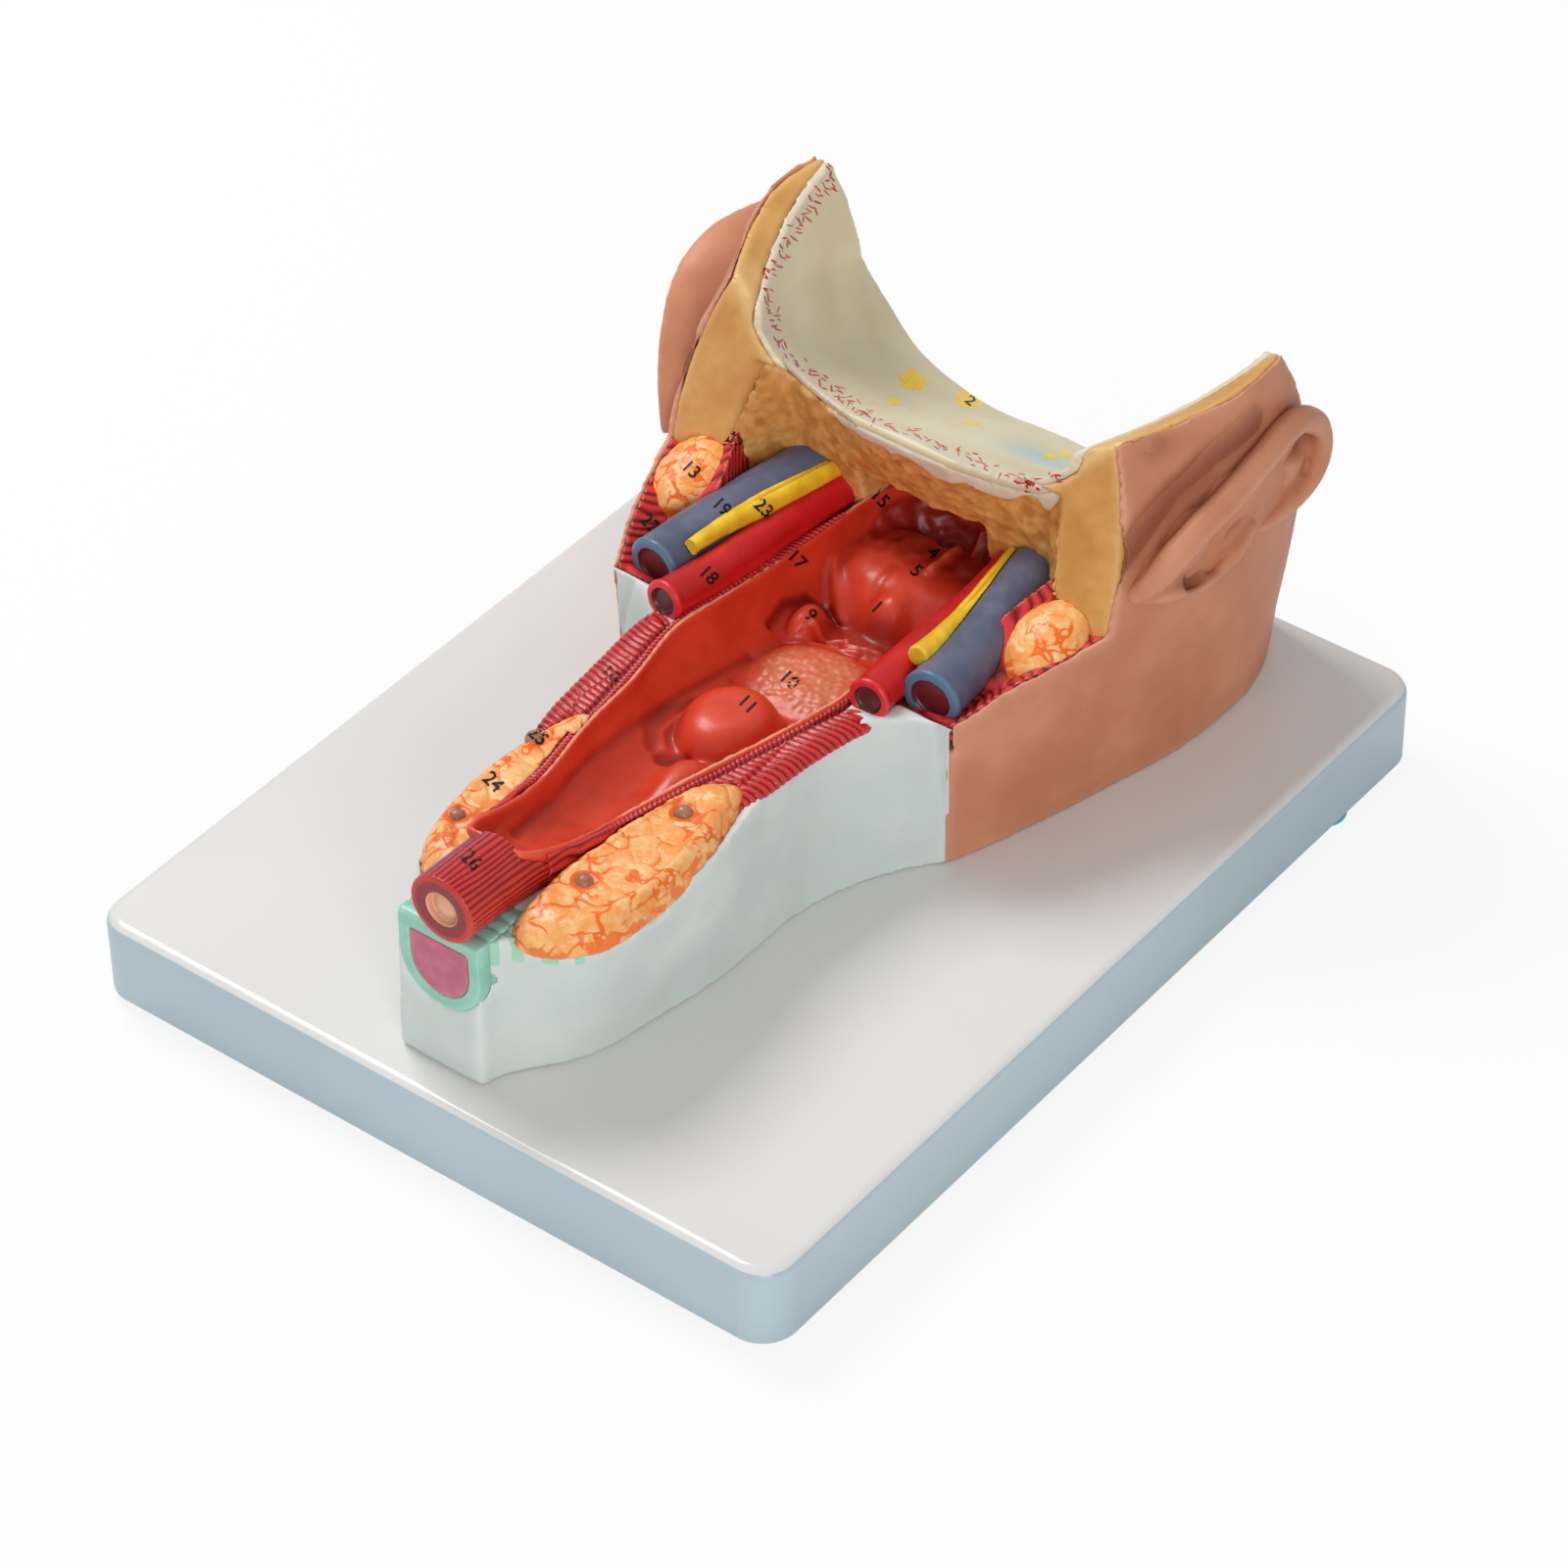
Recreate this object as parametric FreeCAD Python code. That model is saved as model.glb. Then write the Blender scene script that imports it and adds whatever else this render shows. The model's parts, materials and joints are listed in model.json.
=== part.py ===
import FreeCAD, Part
import math
import os

V = FreeCAD.Vector

# Base: white panel in a pale blue tray, closed below, on four feet
base_width = 208.0
base_length = 269.0
base_height = 22.6
base_corner_radius = 9.5
base_edge_round = 3.0
panel_thickness = 4.0
panel_lip = 1.1
skirt_wall = 3.0
ledge_width = 4.0
ledge_thickness = 2.5
rib_thickness = 2.4
rib_spacing = 62.0
bottom_thickness = 2.4
fit_clearance = 0.25
foot_radius = 6.0
foot_height = 3.0
foot_round = 0.8
foot_stem_radius = 2.5
foot_stem_length = 4.0
foot_inset = 6.5
front_foot_inset = 16.0
foot_row_offset = 33.0

# Fasteners
screw_radius = 2.0
screw_head_radius = 3.8
screw_head_height = 2.4
screw_length = 17.0
screw_clearance = 0.3
washer_radius = 6.0
washer_thickness = 1.0
closing_screw_length = 9.0
post_radius = 5.0
post_inset = 17.0

# Casting as a whole; the tables of shares below follow these three sizes
casting_half_width = 80.0
casting_length = 250.0
casting_height = 100.0
skin_thickness = 1.4
overrun = 6.0

# Hollow organs and vessels
lining_wall = 1.6
esophagus_radius = 9.2
esophagus_end_radius = 9.8
esophagus_bore_radius = 4.4
esophagus_bore_depth = 5.0
trachea_wall = 3.4
trachea_hoop_width = 2.2
trachea_hoop_pitch = 3.9
trachea_hoop_count = 4
trachea_hoop_rise = 0.5
jugular_radius = 7.6
jugular_bore_radius = 5.1
carotid_radius = 5.3
carotid_bore_radius = 3.5
vessel_bore_depth = 7.0
nerve_radius = 2.7
muscle_bed_thickness = 5.0
dura_thickness = 2.6
parathyroid_radius = 2.1

base_top = foot_height + base_height


def at(x_share, y_share, h_share):
    """Point of the casting, from shares of its half width, length and height."""
    return V(
        x_share * casting_half_width,
        y_share * casting_length,
        base_top + h_share * casting_height,
    )


def mirrored(shape):
    return shape.mirror(V(0, 0, 0), V(1, 0, 0))


def main_solid(shape):
    """The piece itself, without the crumbs that a cut can leave."""
    return max(shape.Solids, key=lambda solid: solid.Volume)


def cut_each(shape, tools):
    """Cut by one tool at a time, which is safer where their faces graze each other."""
    for tool in tools:
        shape = shape.cut(tool)
    return shape


def spline(points, closed=False):
    curve = Part.BSplineCurve()
    curve.interpolate(points, PeriodicFlag=closed)
    return curve.toShape()


def line(a, b):
    return Part.LineSegment(a, b).toShape()


def loft(wires, ruled=False):
    return Part.makeLoft(wires, True, ruled)


def prism(points, direction):
    return Part.Face(Part.makePolygon(points + points[:1])).extrude(direction)


def cylinder(radius, height, foot):
    return Part.makeCylinder(radius, height, foot, V(0, 0, 1))


def ellipsoid(centre, radii, tilt=0.0, turn=0.0):
    """Ball drawn out to three radii, tilted about X and then turned about Z."""
    ball = Part.makeSphere(1)
    matrix = FreeCAD.Matrix()
    matrix.scale(radii[0], radii[1], radii[2])
    ball = ball.transformGeometry(matrix)
    ball.rotate(V(0, 0, 0), V(1, 0, 0), tilt)
    ball.rotate(V(0, 0, 0), V(0, 0, 1), turn)
    ball.translate(centre)
    return ball


# Base

def rounded_slab(inset, bottom, top):
    width = base_width - 2 * inset
    length = base_length - 2 * inset
    slab = Part.makeBox(width, length, top - bottom, V(-width / 2, -length / 2, bottom))
    upright = [e for e in slab.Edges if abs(e.tangentAt(e.FirstParameter).z) > 0.9]
    return slab.makeFillet(base_corner_radius - min(inset, base_corner_radius / 2), upright)


def post_places():
    x = base_width / 2 - post_inset
    y = base_length / 2 - post_inset
    return [V(sx * x, sy * y, 0) for sx in (-1, 1) for sy in (-1, 1)]


def foot_places():
    x = base_width / 2 - foot_inset
    front_x = base_width / 2 - front_foot_inset
    y = base_length / 2 - foot_row_offset
    return {
        "front_left": V(-front_x, -y, 0),
        "front_right": V(front_x, -y, 0),
        "rear_left": V(-x, y, 0),
        "rear_right": V(x, y, 0),
    }


casting_screw_shares = [(0.0, -0.37), (0.0, -0.14), (-0.52, 0.19), (0.52, 0.19)]


def casting_screw_places():
    return [at(x, y, 0) for x, y in casting_screw_shares]


def make_base():
    panel_under = base_top - panel_thickness
    ledge_under = panel_under - ledge_thickness
    outer = rounded_slab(0, foot_height, base_top)
    rim = [e for e in outer.Edges if e.BoundBox.ZMin > base_top - base_edge_round]
    outer = outer.makeFillet(base_edge_round, rim)
    below_lip = rounded_slab(-overrun, foot_height - overrun, base_top - panel_lip)
    above_lip = rounded_slab(-overrun, base_top - panel_lip, base_top + overrun)

    tongue = rounded_slab(skirt_wall + fit_clearance, panel_under, base_top - panel_lip)
    panel = outer.common(above_lip).fuse(tongue)
    panel = panel.cut([
        cylinder(screw_radius + screw_clearance, panel_thickness + 2 * overrun,
                 V(p.x, p.y, panel_under - overrun))
        for p in casting_screw_places()
    ]).removeSplitter()

    skirt = outer.common(below_lip)
    skirt = skirt.cut([
        rounded_slab(skirt_wall, panel_under, base_top + overrun),
        rounded_slab(skirt_wall + ledge_width, ledge_under - overrun, base_top),
        rounded_slab(skirt_wall, foot_height - overrun, ledge_under),
    ])
    floor = foot_height + bottom_thickness
    inside_length = base_length - 2 * skirt_wall
    inside_width = base_width - 2 * skirt_wall
    ribs = []
    for place in (-rib_spacing / 2, rib_spacing / 2):
        ribs.append(Part.makeBox(rib_thickness, inside_length, panel_under - floor,
                                 V(place - rib_thickness / 2, -inside_length / 2, floor)))
    for place in (-rib_spacing, 0, rib_spacing):
        ribs.append(Part.makeBox(inside_width, rib_thickness, panel_under - floor,
                                 V(-inside_width / 2, place - rib_thickness / 2, floor)))
    posts = [
        cylinder(post_radius, panel_under - floor, V(p.x, p.y, floor))
        for p in post_places()
    ]
    # each post is tied to the side wall by a short web
    web_length = post_inset - skirt_wall
    for p in post_places():
        near = p.x if p.x > 0 else p.x - web_length
        posts.append(Part.makeBox(web_length, rib_thickness, panel_under - floor,
                                  V(near, p.y - rib_thickness / 2, floor)))
    pilots = [
        cylinder(screw_radius, closing_screw_length - bottom_thickness, V(p.x, p.y, floor))
        for p in post_places()
    ]
    skirt = skirt.fuse(ribs + posts).removeSplitter().cut(pilots)

    bottom = rounded_slab(skirt_wall + fit_clearance, foot_height, floor)
    holes = [
        cylinder(screw_radius + screw_clearance, bottom_thickness, V(p.x, p.y, foot_height))
        for p in post_places()
    ]
    holes += [
        cylinder(screw_head_radius + screw_clearance, screw_head_height / 2,
                 V(p.x, p.y, foot_height))
        for p in post_places()
    ]
    holes += [
        cylinder(foot_stem_radius, bottom_thickness, V(p.x, p.y, foot_height))
        for p in foot_places().values()
    ]
    return main_solid(panel), main_solid(skirt), main_solid(bottom.cut(holes))


def make_foot(place):
    pad = cylinder(foot_radius, foot_height, V(place.x, place.y, 0))
    lower = [e for e in pad.Edges if e.BoundBox.ZMax < foot_height / 2]
    pad = pad.makeFillet(foot_round, lower)
    stem = cylinder(foot_stem_radius, foot_stem_length, V(place.x, place.y, foot_height))
    return main_solid(pad.fuse(stem))


def screw(place, seat, length, head_depth):
    """Screw that points up: its head hangs below the seat."""
    head = cylinder(screw_head_radius, head_depth, V(place.x, place.y, seat - head_depth))
    shank = cylinder(screw_radius, length, V(place.x, place.y, seat))
    return head.fuse(shank).removeSplitter()


def make_fasteners():
    seat = base_top - panel_thickness
    washers = []
    screws = []
    for p in casting_screw_places():
        ring = cylinder(washer_radius, washer_thickness, V(p.x, p.y, seat - washer_thickness))
        washers.append(ring.cut(cylinder(screw_radius + screw_clearance, washer_thickness,
                                         V(p.x, p.y, seat - washer_thickness))))
        screws.append(screw(p, seat - washer_thickness, screw_length, screw_head_height))
    closing = []
    for p in post_places():
        sunk = foot_height + screw_head_height / 2
        closing.append(screw(p, sunk, closing_screw_length - screw_head_height / 2,
                             screw_head_height / 2))
    return washers, screws, closing


# Neck and head castings

neck_front_share = -0.496
joint_share = 0.02
neck_top_share = 0.434
# neck in plan, front to back, at the base and at the top: right and left half width, station
neck_base_shares = [
    (0.135, 0.185, -0.495), (0.19, 0.20, -0.455), (0.27, 0.235, -0.42), (0.35, 0.26, -0.34),
    (0.405, 0.29, -0.23), (0.415, 0.32, -0.12), (0.47, 0.42, -0.06), (0.63, 0.63, 0.02),
]
neck_crown_shares = [
    (0.15, 0.157, -0.495), (0.20, 0.185, -0.462), (0.36, 0.24, -0.435), (0.44, 0.30, -0.36),
    (0.44, 0.325, -0.26), (0.37, 0.315, -0.13), (0.42, 0.385, -0.02), (0.65, 0.65, 0.02),
]


def neck_wire(side_shares, h_share):
    right = [at(x, y, h_share) for x, left_x, y in side_shares]
    left = [at(-left_x, y, h_share) for x, left_x, y in reversed(side_shares)]
    return Part.Wire([
        line(left[-1], right[0]),
        spline(right),
        line(right[-1], left[0]),
        spline(left),
    ])


# plan outlines of the head from its lowest to its highest level:
# height, half widths at the joint, at 0.11, 0.20, 0.30 and 0.40, then the far end
head_level_shares = [
    (0.00, (0.63, 0.735, 0.812, 0.890, 0.905), 0.524, 0.80),
    (0.25, (0.64, 0.755, 0.842, 0.912, 0.935), 0.524, 0.84),
    (0.50, (0.655, 0.770, 0.860, 0.925, 0.950), 0.524, 0.88),
    (0.75, (0.640, 0.735, 0.815, 0.890, 0.945), 0.516, 0.92),
    (1.00, (0.580, 0.625, 0.655, 0.810, 0.905), 0.500, 0.94),
]
head_station_shares = (joint_share, 0.11, 0.20, 0.30, 0.40)
far_corner_share = 0.035


def head_wire(level, inset):
    h_share, widths, end_share, corner = level
    right = []
    for x, y in zip(widths, head_station_shares):
        p = at(x, y, h_share)
        right.append(V(p.x - inset, p.y, p.z))
    shoulder = at(widths[-1] * (1 + corner) / 2, end_share - far_corner_share, h_share)
    right.append(V(shoulder.x - inset, shoulder.y, shoulder.z))
    tip = at(widths[-1] * corner, end_share, h_share)
    right.append(V(tip.x - inset, tip.y, tip.z))
    left = [V(-p.x, p.y, p.z) for p in reversed(right)]
    return Part.Wire([
        spline(right),
        line(right[-1], left[0]),
        spline(left),
        line(left[-1], right[0]),
    ])


def head_volume(inset):
    return loft([head_wire(level, inset) for level in head_level_shares])


# side profile of the far end, from the panel up to the peak of the rim
far_profile_shares = [(0.524, 0.0), (0.517, 0.55), (0.448, 1.0)]


def far_end_cutter():
    low, middle, high = [at(0, y, h) for y, h in far_profile_shares]
    arc = Part.Arc(low, middle, high).toShape()
    above = V(0, high.y - overrun, high.z + 2 * overrun)
    away = V(0, casting_length, above.z)
    below = V(0, casting_length, low.z - overrun)
    under = V(0, low.y, low.z - overrun)
    wire = Part.Wire([
        line(under, low), arc, line(high, above), line(above, away),
        line(away, below), line(below, under),
    ])
    face = Part.Face(wire)
    face.translate(V(-2 * casting_half_width, 0, 0))
    return face.extrude(V(4 * casting_half_width, 0, 0))


# the cut face of the head leans back as it rises
cut_face_shares = [(0.12, 0.0), (0.276, 1.22)]
# the bed of the vessels in cross section, from the middle out to the skin
bed_shares = [(0.0, 0.38), (0.375, 0.395), (0.625, 0.43), (0.72, 0.49), (0.825, 0.52), (1.2, 0.53)]


def bed_prism(drop, top_share):
    """Space above the bed of the vessels, which may be lowered by drop."""
    right = [at(x, -0.04, h) for x, h in bed_shares]
    right = [V(p.x, p.y, p.z - drop) for p in right]
    left = [V(-p.x, p.y, p.z) for p in reversed(right[1:])]
    top = [at(1.2, -0.04, top_share), at(-1.2, -0.04, top_share)]
    return prism(left + right + top, V(0, casting_length / 2, 0))


def before_cut_face():
    low, high = [at(-1.5, y, h) for y, h in cut_face_shares]
    front_low = V(low.x, -casting_length / 4, low.z)
    front_high = V(low.x, -casting_length / 4, high.z)
    return prism([front_low, low, high, front_high], V(3 * casting_half_width, 0, 0))


# recess below the skull base: its back wall in plan, near the panel and near the cavity
recess_low_shares = [
    (0.0, 0.272), (0.17, 0.270), (0.375, 0.258), (0.50, 0.243), (0.585, 0.21), (0.65, 0.16),
]
recess_high_shares = [
    (0.0, 0.205), (0.17, 0.208), (0.375, 0.240), (0.48, 0.248), (0.55, 0.238), (0.62, 0.212),
]
recess_front_share = -0.05
recess_bottom_share = 0.36
recess_top_share = 0.80


def recess_volume():
    wires = []
    for shares, h in ((recess_low_shares, recess_bottom_share), (recess_high_shares, recess_top_share)):
        right = [at(x, y, h) for x, y in shares]
        right.append(at(shares[-1][0], recess_front_share, h))
        left = [V(-p.x, p.y, p.z) for p in reversed(right[1:])]
        wires.append(Part.makePolygon(left + right + left[:1]))
    return loft(wires, True)


# Cranial cavity: station, floor height, half width of the floor, wall height, wall half width
cavity_shares = [
    (0.16, 0.85, 0.32, 0.90, 0.50),
    (0.22, 0.77, 0.38, 0.88, 0.56),
    (0.32, 0.60, 0.50, 0.80, 0.71),
    (0.42, 0.44, 0.50, 0.70, 0.80),
    (0.56, 0.22, 0.50, 0.55, 0.90),
]
cavity_top_share = 1.3


def cavity_wire(station, offset):
    y, floor_h, floor_x, wall_h, wall_x = station
    middle = at(0, y, floor_h)
    floor = at(floor_x, y, floor_h + 0.015)
    wall = at(wall_x, y, wall_h)
    top = at(wall_x + 0.02, y, cavity_top_share)
    middle = V(0, middle.y, middle.z - offset)
    floor = V(floor.x, floor.y, floor.z - offset)
    wall = V(wall.x + offset, wall.y, wall.z)
    top = V(top.x + offset, top.y, top.z)
    left = [V(-p.x, p.y, p.z) for p in (top, wall, floor)]
    return Part.Wire([
        line(left[0], left[1]),
        spline([left[1], left[2], middle, floor, wall]),
        line(wall, top),
        line(top, left[0]),
    ])


def cavity_volume(offset):
    return loft([cavity_wire(station, offset) for station in cavity_shares])


# the rim slopes inwards: station, outer height and half width, inner height and half width
rim_shares = [
    (0.10, 0.955, 0.60, 0.80, 0.35),
    (0.245, 0.970, 0.72, 0.874, 0.52),
    (0.34, 0.980, 0.845, 0.93, 0.70),
    (0.45, 0.999, 0.905, 0.985, 0.85),
    (0.60, 1.02, 0.93, 1.00, 0.88),
]


def rim_cutter():
    wires = []
    for y, outer_h, outer_x, inner_h, inner_x in rim_shares:
        slope = (outer_h - inner_h) / (outer_x - inner_x)
        beyond = outer_x + 0.4
        right = [at(inner_x, y, inner_h), at(beyond, y, outer_h + slope * 0.4), at(beyond, y, 1.6)]
        left = [V(-p.x, p.y, p.z) for p in reversed(right)]
        wires.append(Part.makePolygon(right + left + right[:1]))
    return loft(wires, True)


# skull base: station, height of its underside, of its top at the side
bone_shares = [
    (0.16, 0.44, 0.87), (0.22, 0.43, 0.80), (0.32, 0.42, 0.64), (0.42, 0.34, 0.50), (0.56, 0.16, 0.30),
]
bone_low_half_width_share = 0.66
bone_high_half_width_share = 0.57


def bone_volume():
    """Block below the cranial cavity that the other cuts shape into the skull base."""
    wires = []
    for y, bottom_h, side_h in bone_shares:
        bottom = at(0, y, bottom_h)
        corner = at(bone_low_half_width_share, y, bottom_h)
        side = at(bone_high_half_width_share, y, side_h)
        left = [V(-p.x, p.y, p.z) for p in (side, corner)]
        points = left + [bottom, corner, side]
        wires.append(Part.makePolygon(points + points[:1]))
    return loft(wires, True)


# Pharynx: station, half width of the opening, height of its rim, height of its floor
pharynx_shares = [
    (-0.408, 0.085, 0.572, 0.545),
    (-0.392, 0.104, 0.552, 0.490),
    (-0.348, 0.118, 0.512, 0.430),
    (-0.280, 0.138, 0.484, 0.370),
    (-0.200, 0.188, 0.483, 0.330),
    (-0.105, 0.238, 0.460, 0.290),
    (-0.020, 0.290, 0.457, 0.255),
    (0.050, 0.284, 0.439, 0.220),
    (0.140, 0.275, 0.416, 0.195),
    (0.214, 0.262, 0.412, 0.200),
    (0.268, 0.232, 0.430, 0.215),
    (0.310, 0.180, 0.445, 0.250),
    (0.335, 0.130, 0.455, 0.310),
]
pharynx_bulge_share = 0.93


def pharynx_wire(station, offset, rise):
    y, half_width, rim_h, floor_h = station
    rim = at(half_width, y, rim_h)
    floor = at(0, y, floor_h)
    rim = V(rim.x + offset, rim.y, rim.z)
    floor = V(0, floor.y, floor.z - offset)
    depth = rim.z - floor.z
    flank = V(rim.x * pharynx_bulge_share, rim.y, floor.z + depth * 0.45)
    hollow = V(rim.x * 0.55, rim.y, floor.z + depth * 0.09)
    right = [floor, hollow, flank, rim]
    left = [V(-p.x, p.y, p.z) for p in reversed(right[1:])]
    edges = [spline(left + right)]
    top = V(rim.x, rim.y, rim.z + rise)
    top_left = V(-top.x, top.y, top.z)
    if rise > 0:
        edges += [line(rim, top), line(top, top_left), line(top_left, left[0])]
    else:
        edges += [line(rim, left[0])]
    return Part.Wire(edges)


def pharynx_volume(offset, rise):
    wires = [pharynx_wire(station, offset, rise) for station in pharynx_shares]
    wires[0].translate(V(0, -offset, 0))
    wires[-1].translate(V(0, offset, 0))
    return loft(wires)


# Constrictor: station, outer half width and height of the top, then of the foot
constrictor_shares = [
    (-0.385, 0.136, 0.530, 0.145, 0.42),
    (-0.340, 0.158, 0.500, 0.170, 0.41),
    (-0.280, 0.184, 0.480, 0.202, 0.41),
    (-0.205, 0.240, 0.474, 0.255, 0.40),
    (-0.170, 0.312, 0.462, 0.345, 0.39),
    (-0.100, 0.306, 0.452, 0.366, 0.38),
    (-0.027, 0.318, 0.450, 0.372, 0.38),
    (0.030, 0.330, 0.440, 0.345, 0.37),
    (0.140, 0.312, 0.418, 0.322, 0.36),
    (0.250, 0.262, 0.420, 0.280, 0.36),
]


def constrictor_volume():
    wires = []
    for y, top_x, top_h, foot_x, foot_h in constrictor_shares:
        points = [at(top_x * 0.3, y, top_h), at(top_x, y, top_h),
                  at(foot_x, y, foot_h), at(top_x * 0.3, y, foot_h)]
        wires.append(Part.makePolygon(points + points[:1]))
    return loft(wires, True)


# Thyroid lobe in plan
thyroid_shares = [
    (0.165, -0.448), (0.145, -0.40), (0.150, -0.34), (0.175, -0.27), (0.205, -0.21),
    (0.255, -0.175), (0.315, -0.170), (0.365, -0.195), (0.410, -0.245), (0.440, -0.31),
    (0.435, -0.375), (0.395, -0.425), (0.310, -0.455), (0.225, -0.463),
]
thyroid_level_shares = [(0.385, 0.80), (0.435, 0.99), (0.462, 0.92), (0.478, 0.66)]
thyroid_centre_shares = (0.29, -0.32)


def thyroid_volume():
    cx, cy = thyroid_centre_shares
    wires = []
    for h, size in thyroid_level_shares:
        points = [at(cx + (x - cx) * size, cy + (y - cy) * size, h) for x, y in thyroid_shares]
        wires.append(Part.Wire([spline(points, closed=True)]))
    return loft(wires)


left_lobe_turn = 5.0
left_lobe_shift = 6.5
left_lobe_pivot_shares = (-0.40, -0.20, 0.0)
parathyroid_shares = [(0.283, -0.245, 0.474), (0.240, -0.375, 0.470)]

# Vessels and nerve: centre lines, from the cut end to the skull base
jugular_shares = [
    (0.530, 0.035, 0.457), (0.512, 0.10, 0.460), (0.475, 0.18, 0.462), (0.415, 0.29, 0.468),
]
carotid_shares = [
    (0.392, -0.006, 0.467), (0.372, 0.06, 0.452), (0.362, 0.14, 0.440), (0.325, 0.29, 0.440),
]
nerve_shares = [
    (0.437, 0.055, 0.520), (0.425, 0.12, 0.510), (0.395, 0.18, 0.502), (0.340, 0.29, 0.490),
]


def along(shares):
    return [at(*share) for share in shares]


def tube_volume(centres, radii):
    """Soft tube through circles that stand across the line of the centres."""
    wires = []
    for i, centre in enumerate(centres):
        before = centres[max(i - 1, 0)]
        after = centres[min(i + 1, len(centres) - 1)]
        direction = after.sub(before)
        circle = Part.Circle(centre, direction, radii[i])
        wires.append(Part.Wire([circle.toShape()]))
    return loft(wires)


def bored(tube, centres, radius, depth):
    direction = centres[1].sub(centres[0]).normalize()
    start = centres[0].sub(direction * overrun)
    return tube.cut(Part.makeCylinder(radius, depth + overrun, start, direction))


# Trachea: D-shaped section, flat against the esophagus
trachea_half_width_share = 0.150
trachea_top_share = 0.436
trachea_bottom_share = 0.204
trachea_length = 17.0


def trachea_face(inset, station):
    top = base_top + trachea_top_share * casting_height - inset
    half = trachea_half_width_share * casting_half_width - inset
    bottom = base_top + trachea_bottom_share * casting_height + inset
    shoulder = top - (top - bottom) * 0.45
    arc = Part.Arc(V(half, station, shoulder), V(0, station, bottom), V(-half, station, shoulder))
    return Part.Face(Part.Wire([
        line(V(-half, station, top), V(half, station, top)),
        line(V(half, station, top), V(half, station, shoulder)),
        arc.toShape(),
        line(V(-half, station, shoulder), V(-half, station, top)),
    ]))


esophagus_shares = [(0.040, -0.502, 0.528), (0.026, -0.450, 0.508), (0.010, -0.368, 0.466)]

# Parotid: centre as shares, then radii and tilt; the wedge muscle's levels
parotid_centre_shares = (0.685, 0.157, 0.482)
parotid_radii = (9.5, 13.0, 7.0)
parotid_tilt = 24.0

wedge_shares = [
    (0.090, 0.510, 0.680, 0.40, 0.450),
    (0.150, 0.515, 0.700, 0.42, 0.540),
    (0.225, 0.600, 0.710, 0.46, 0.615),
]


def wedge_volume():
    wires = []
    for y, inner_x, outer_x, low, high in wedge_shares:
        points = [at(inner_x, y, low), at(outer_x, y, low),
                  at(outer_x, y, (low + high) / 2), at(inner_x + 0.03, y, high)]
        wires.append(Part.makePolygon(points + points[:1]))
    return loft(wires, True)


# Soft palate: profile of the shelf in station and height, then its size across the pharynx
palate_profile_shares = [
    (0.262, 0.120), (0.262, 0.250), (0.238, 0.318), (0.200, 0.342), (0.170, 0.330),
    (0.152, 0.295), (0.158, 0.245), (0.172, 0.120),
]
palate_centre_shares = (0.215, 0.120)
palate_level_shares = [(-0.26, 0.78), (-0.16, 0.90), (0.0, 1.0), (0.16, 0.90), (0.26, 0.78)]
uvula_shares = (0.015, 0.150, 0.262)
uvula_radii = (3.6, 4.5, 7.5)
tonsil_shares = (0.185, 0.138, 0.240)
tonsil_radii = (4.5, 7.5, 6.0)
tongue_shares = (0.0, 0.072, 0.185)
tongue_radii = (16.5, 17.0, 10.0)
epiglottis_shares = (0.0, -0.062, 0.292)
epiglottis_radii = (12.5, 14.5, 9.5)
arytenoid_shares = (0.015, -0.155, 0.318)
arytenoid_radii = (10.0, 16.5, 6.5)


def palate_volume():
    cy, ch = palate_centre_shares
    wires = []
    for x, size in palate_level_shares:
        points = [
            at(x, cy + (y - cy) * size, ch + (h - ch) * size)
            for y, h in palate_profile_shares
        ]
        wires.append(Part.Wire([spline(points), line(points[-1], points[0])]))
    return loft(wires).fuse(ellipsoid(at(*uvula_shares), uvula_radii, -20))


# Ear: outline seen from the side, and how far it stands out seen from above
ear_outline_shares = [
    (0.160, 0.594), (0.170, 0.654), (0.208, 0.764), (0.268, 0.894), (0.308, 0.921),
    (0.360, 0.912), (0.400, 0.879), (0.456, 0.820), (0.498, 0.719), (0.512, 0.632),
    (0.504, 0.576), (0.469, 0.549), (0.420, 0.508), (0.372, 0.439), (0.312, 0.464),
    (0.224, 0.509), (0.188, 0.539),
]
ear_centre_shares = (0.335, 0.700)
ear_level_shares = [(0.80, 0.84), (0.92, 0.93), (1.00, 1.00), (1.06, 0.97)]
ear_plan_shares = [
    (0.870, 0.150), (0.930, 0.180), (0.985, 0.215), (1.030, 0.270),
    (1.043, 0.320), (1.030, 0.370), (1.005, 0.430), (1.000, 0.530),
]
ear_hollow_share = 0.70
ear_hollow_centre_shares = (0.420, 0.640)
ear_hollow_depth = 5.5
left_ear_pivot_shares = (0.0, 0.340, 0.890)
left_ear_turn = 12.0
left_ear_drop = 3.0


def ear_wire(x_share, size, centre_shares):
    cy, ch = centre_shares
    points = [
        at(x_share, cy + (y - cy) * size, ch + (h - ch) * size)
        for y, h in ear_outline_shares
    ]
    return Part.Wire([spline(points, closed=True)])


def inside_ear_plan(shift):
    """Space between the head and the outer edge of the ear, as seen from above."""
    edge = [at(x, y, 0) for x, y in ear_plan_shares]
    edge = [V(p.x - shift, p.y, p.z) for p in edge]
    near = V(edge[0].x / 2, edge[0].y, edge[0].z)
    far = V(near.x, edge[-1].y, near.z)
    wire = Part.Wire([spline(edge), line(edge[-1], far), line(far, near), line(near, edge[0])])
    return Part.Face(wire).extrude(V(0, 0, 2 * casting_height))


def ear_volume():
    body = loft([ear_wire(x, size, ear_centre_shares) for x, size in ear_level_shares])
    body = body.common(inside_ear_plan(0))
    hollow = loft([ear_wire(x, ear_hollow_share, ear_hollow_centre_shares) for x in (0.8, 1.2)])
    return body.cut(hollow.cut(inside_ear_plan(ear_hollow_depth)))


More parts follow.
